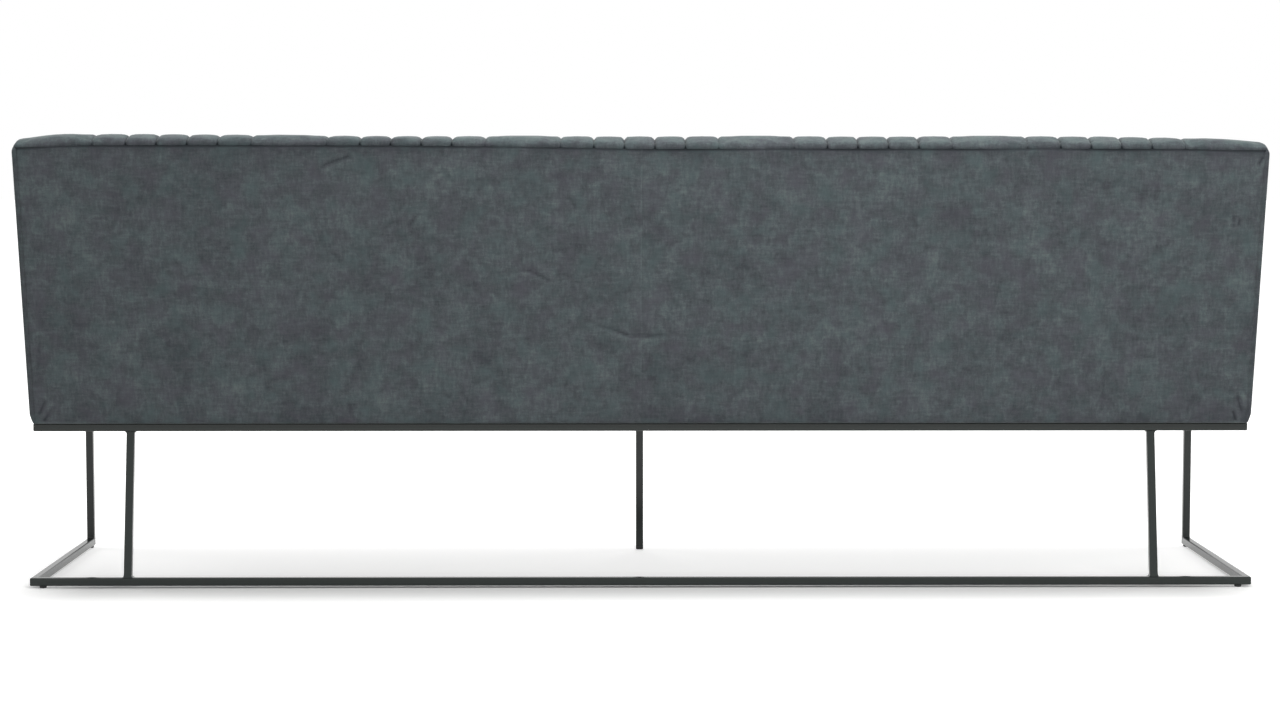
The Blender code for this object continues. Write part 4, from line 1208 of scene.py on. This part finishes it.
def makeFeltAndDustCloth():
    low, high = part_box("seat_felt")

    def placeFelt(a, b):
        x, y = low.x + a * (high.x - low.x), low.y + b * (high.y - low.y)
        ripple = inside["feltRipple"] * wave(x, y, 0.06, 2.0)
        upper, lower = high.z - inside["feltInset"] + ripple, low.z + inside["feltInset"] + ripple
        return Vector((x, y, upper)), Vector((x, y, lower)), 0.0, 0.0

    felt = sewCover("seatFelt", makeFinish("needledFelt"), (90, 24), placeFelt)
    mount(felt, "felt", "seat_felt")

    bottom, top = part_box("dust_cover")
    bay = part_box("right_seat_cross_rail")[0].x
    hanging = inside["dustEdges"]

    def placeDust(a, b):
        x, y = bottom.x + a * (top.x - bottom.x), bottom.y + b * (top.y - bottom.y)
        reach = abs(x) / bay if abs(x) < bay else (abs(x) - bay) / (top.x - bay)
        sag = math.sin(math.pi * reach) * fade(*hanging[:2], b) * (1.0 - fade(*hanging[2:], b))
        sag *= inside["dustSag"] + 0.001 * wave(x, y, 0.12, 4.0)
        lower, upper = (bottom.z + face - sag for face in inside["dustFaces"])
        return Vector((x, y, lower)), Vector((x, y, upper)), 0.0, 0.0

    dust = sewCover("dustCloth", makeFinish("spunbondCloth"), (160, 40), placeDust)
    mount(dust, "dust_cloth", "dust_cover")
    print("felt and dust cloth laid")


# The steel frame, the timber and the small parts keep their solids and get their finishes

weld = {"leg": 0.0048, "sink": 0.0004, "skin": 0.0001, "steps": 6, "length": 0.9}


def addWeld(bm, corner, first, second, along):
    # a hollow bead in an inner corner of the frame, drawn along the joint
    corner, first, second, along = Vector(corner), Vector(first), Vector(second), Vector(along)
    profile = [corner - (first + second) * weld["sink"]]
    for step in range(weld["steps"] + 1):
        turn = math.pi / 2 * step / weld["steps"]
        spread = first * (1.0 - math.sin(turn)) + second * (1.0 - math.cos(turn))
        profile.append(corner + spread * weld["leg"] - (first + second) * weld["skin"])
    face = bm.faces.new([bm.verts.new(point - along / 2) for point in profile])
    made = bmesh.ops.extrude_face_region(bm, geom=[face], use_keep_orig=True)["geom"]
    bmesh.ops.translate(bm, vec=along, verts=[v for v in made if isinstance(v, bmesh.types.BMVert)])


def makeWelds(coat):
    railLow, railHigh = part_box("rear_top_rail")
    barLow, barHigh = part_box("rear_floor_bar")
    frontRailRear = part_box("front_top_rail")[1].y
    tube = railHigh.z - railLow.z
    bead = tube * weld["length"]
    railY, railZ = (railLow.y + railHigh.y) / 2, (railLow.z + railHigh.z) / 2
    barY, barZ = (barLow.y + barHigh.y) / 2, (barLow.z + barHigh.z) / 2
    beads = []  # corner, the two directions away from it, and the bead along the joint
    for name, side in sides:
        for corner, out in zip(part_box(f"{name}_rear_leg"), (-1.0, 1.0)):
            beads.append(((corner.x, railY, railLow.z), (out, 0, 0), (0, 0, -1), (0, bead, 0)))
            beads.append(((corner.x, barY, barHigh.z), (out, 0, 0), (0, 0, 1), (0, bead, 0)))
        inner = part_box(f"{name}_floor_bar")[0 if side > 0 else 1].x
        legLow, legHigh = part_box(f"{name}_front_leg")
        legX, legY = (legLow.x + legHigh.x) / 2, (legLow.y + legHigh.y) / 2
        beads.append(((inner, barLow.y, barZ), (-side, 0, 0), (0, -1, 0), (0, 0, tube)))
        beads.append(((inner, railLow.y, railZ), (-side, 0, 0), (0, -1, 0), (0, 0, tube)))
        beads.append(((inner, frontRailRear, railZ), (-side, 0, 0), (0, 1, 0), (0, 0, tube)))
        beads.append(((legX, legHigh.y, barHigh.z), (0, 1, 0), (0, 0, 1), (bead, 0, 0)))
        beads.append(((legX, legHigh.y, railLow.z), (0, 1, 0), (0, 0, -1), (bead, 0, 0)))
        beads.append(((inner, legY, railLow.z), (-side, 0, 0), (0, 0, -1), (0, bead, 0)))
    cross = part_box("centre_cross_rail")
    for corner, out in zip(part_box("centre_leg"), (-1.0, 1.0)):
        beads.append(((0.0, corner.y, cross[0].z), (0, out, 0), (0, 0, -1), (bead, 0, 0)))
    for corner, out in zip(cross, (-1.0, 1.0)):
        beads.append(((corner.x, frontRailRear, railZ), (out, 0, 0), (0, 1, 0), (0, 0, tube)))
        beads.append(((corner.x, railLow.y, railZ), (out, 0, 0), (0, -1, 0), (0, 0, tube)))
    bm = bmesh.new()
    for corner, first, second, along in beads:
        addWeld(bm, corner, first, second, along)
    bmesh.ops.recalc_face_normals(bm, faces=bm.faces)
    mount(keepMesh("frameWelds", bm, coat, angle=30.0), "powder_coat")
    print("welds added")


def dressNodes():
    soft = ("needledFelt", "cutFoam", "spunbondCloth")
    made = {name: makeFinish(name) for name in finishes if name not in soft}
    slots = {row["node"]: row["material_slot"] for row in frame["record"]["subparts"]}
    plain = {
        "powder_coat": "anthracitePowderCoat",
        "zinc_plated": "zincPlatedSteel",
        "black_plastic": "mouldedPolyethylene",
        "fibreboard": "pressedHardboard",
    }
    for name, node in frame["nodes"].items():
        finish = plain.get(slots[name])
        if slots[name] == "softwood":
            low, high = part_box(name)
            size = high - low
            finish = ("pineAlong", "pineAcross", "pineUpright")[max(range(3), key=lambda axis: size[axis])]
        if finish:
            node.data.materials.clear()
            node.data.materials.append(made[finish])
    print("frame, timber and fittings finished")
    return made["anthracitePowderCoat"]


makeStage()
velvetCloth = makeVelvet()
makeWelds(dressNodes())
makeFoams()
makeStraps()
makeFeltAndDustCloth()
makeRearPanels(velvetCloth)
makeBackEnds(velvetCloth)
makeBorders(velvetCloth)
makeQuilt(velvetCloth)
makeSeatCover(velvetCloth)
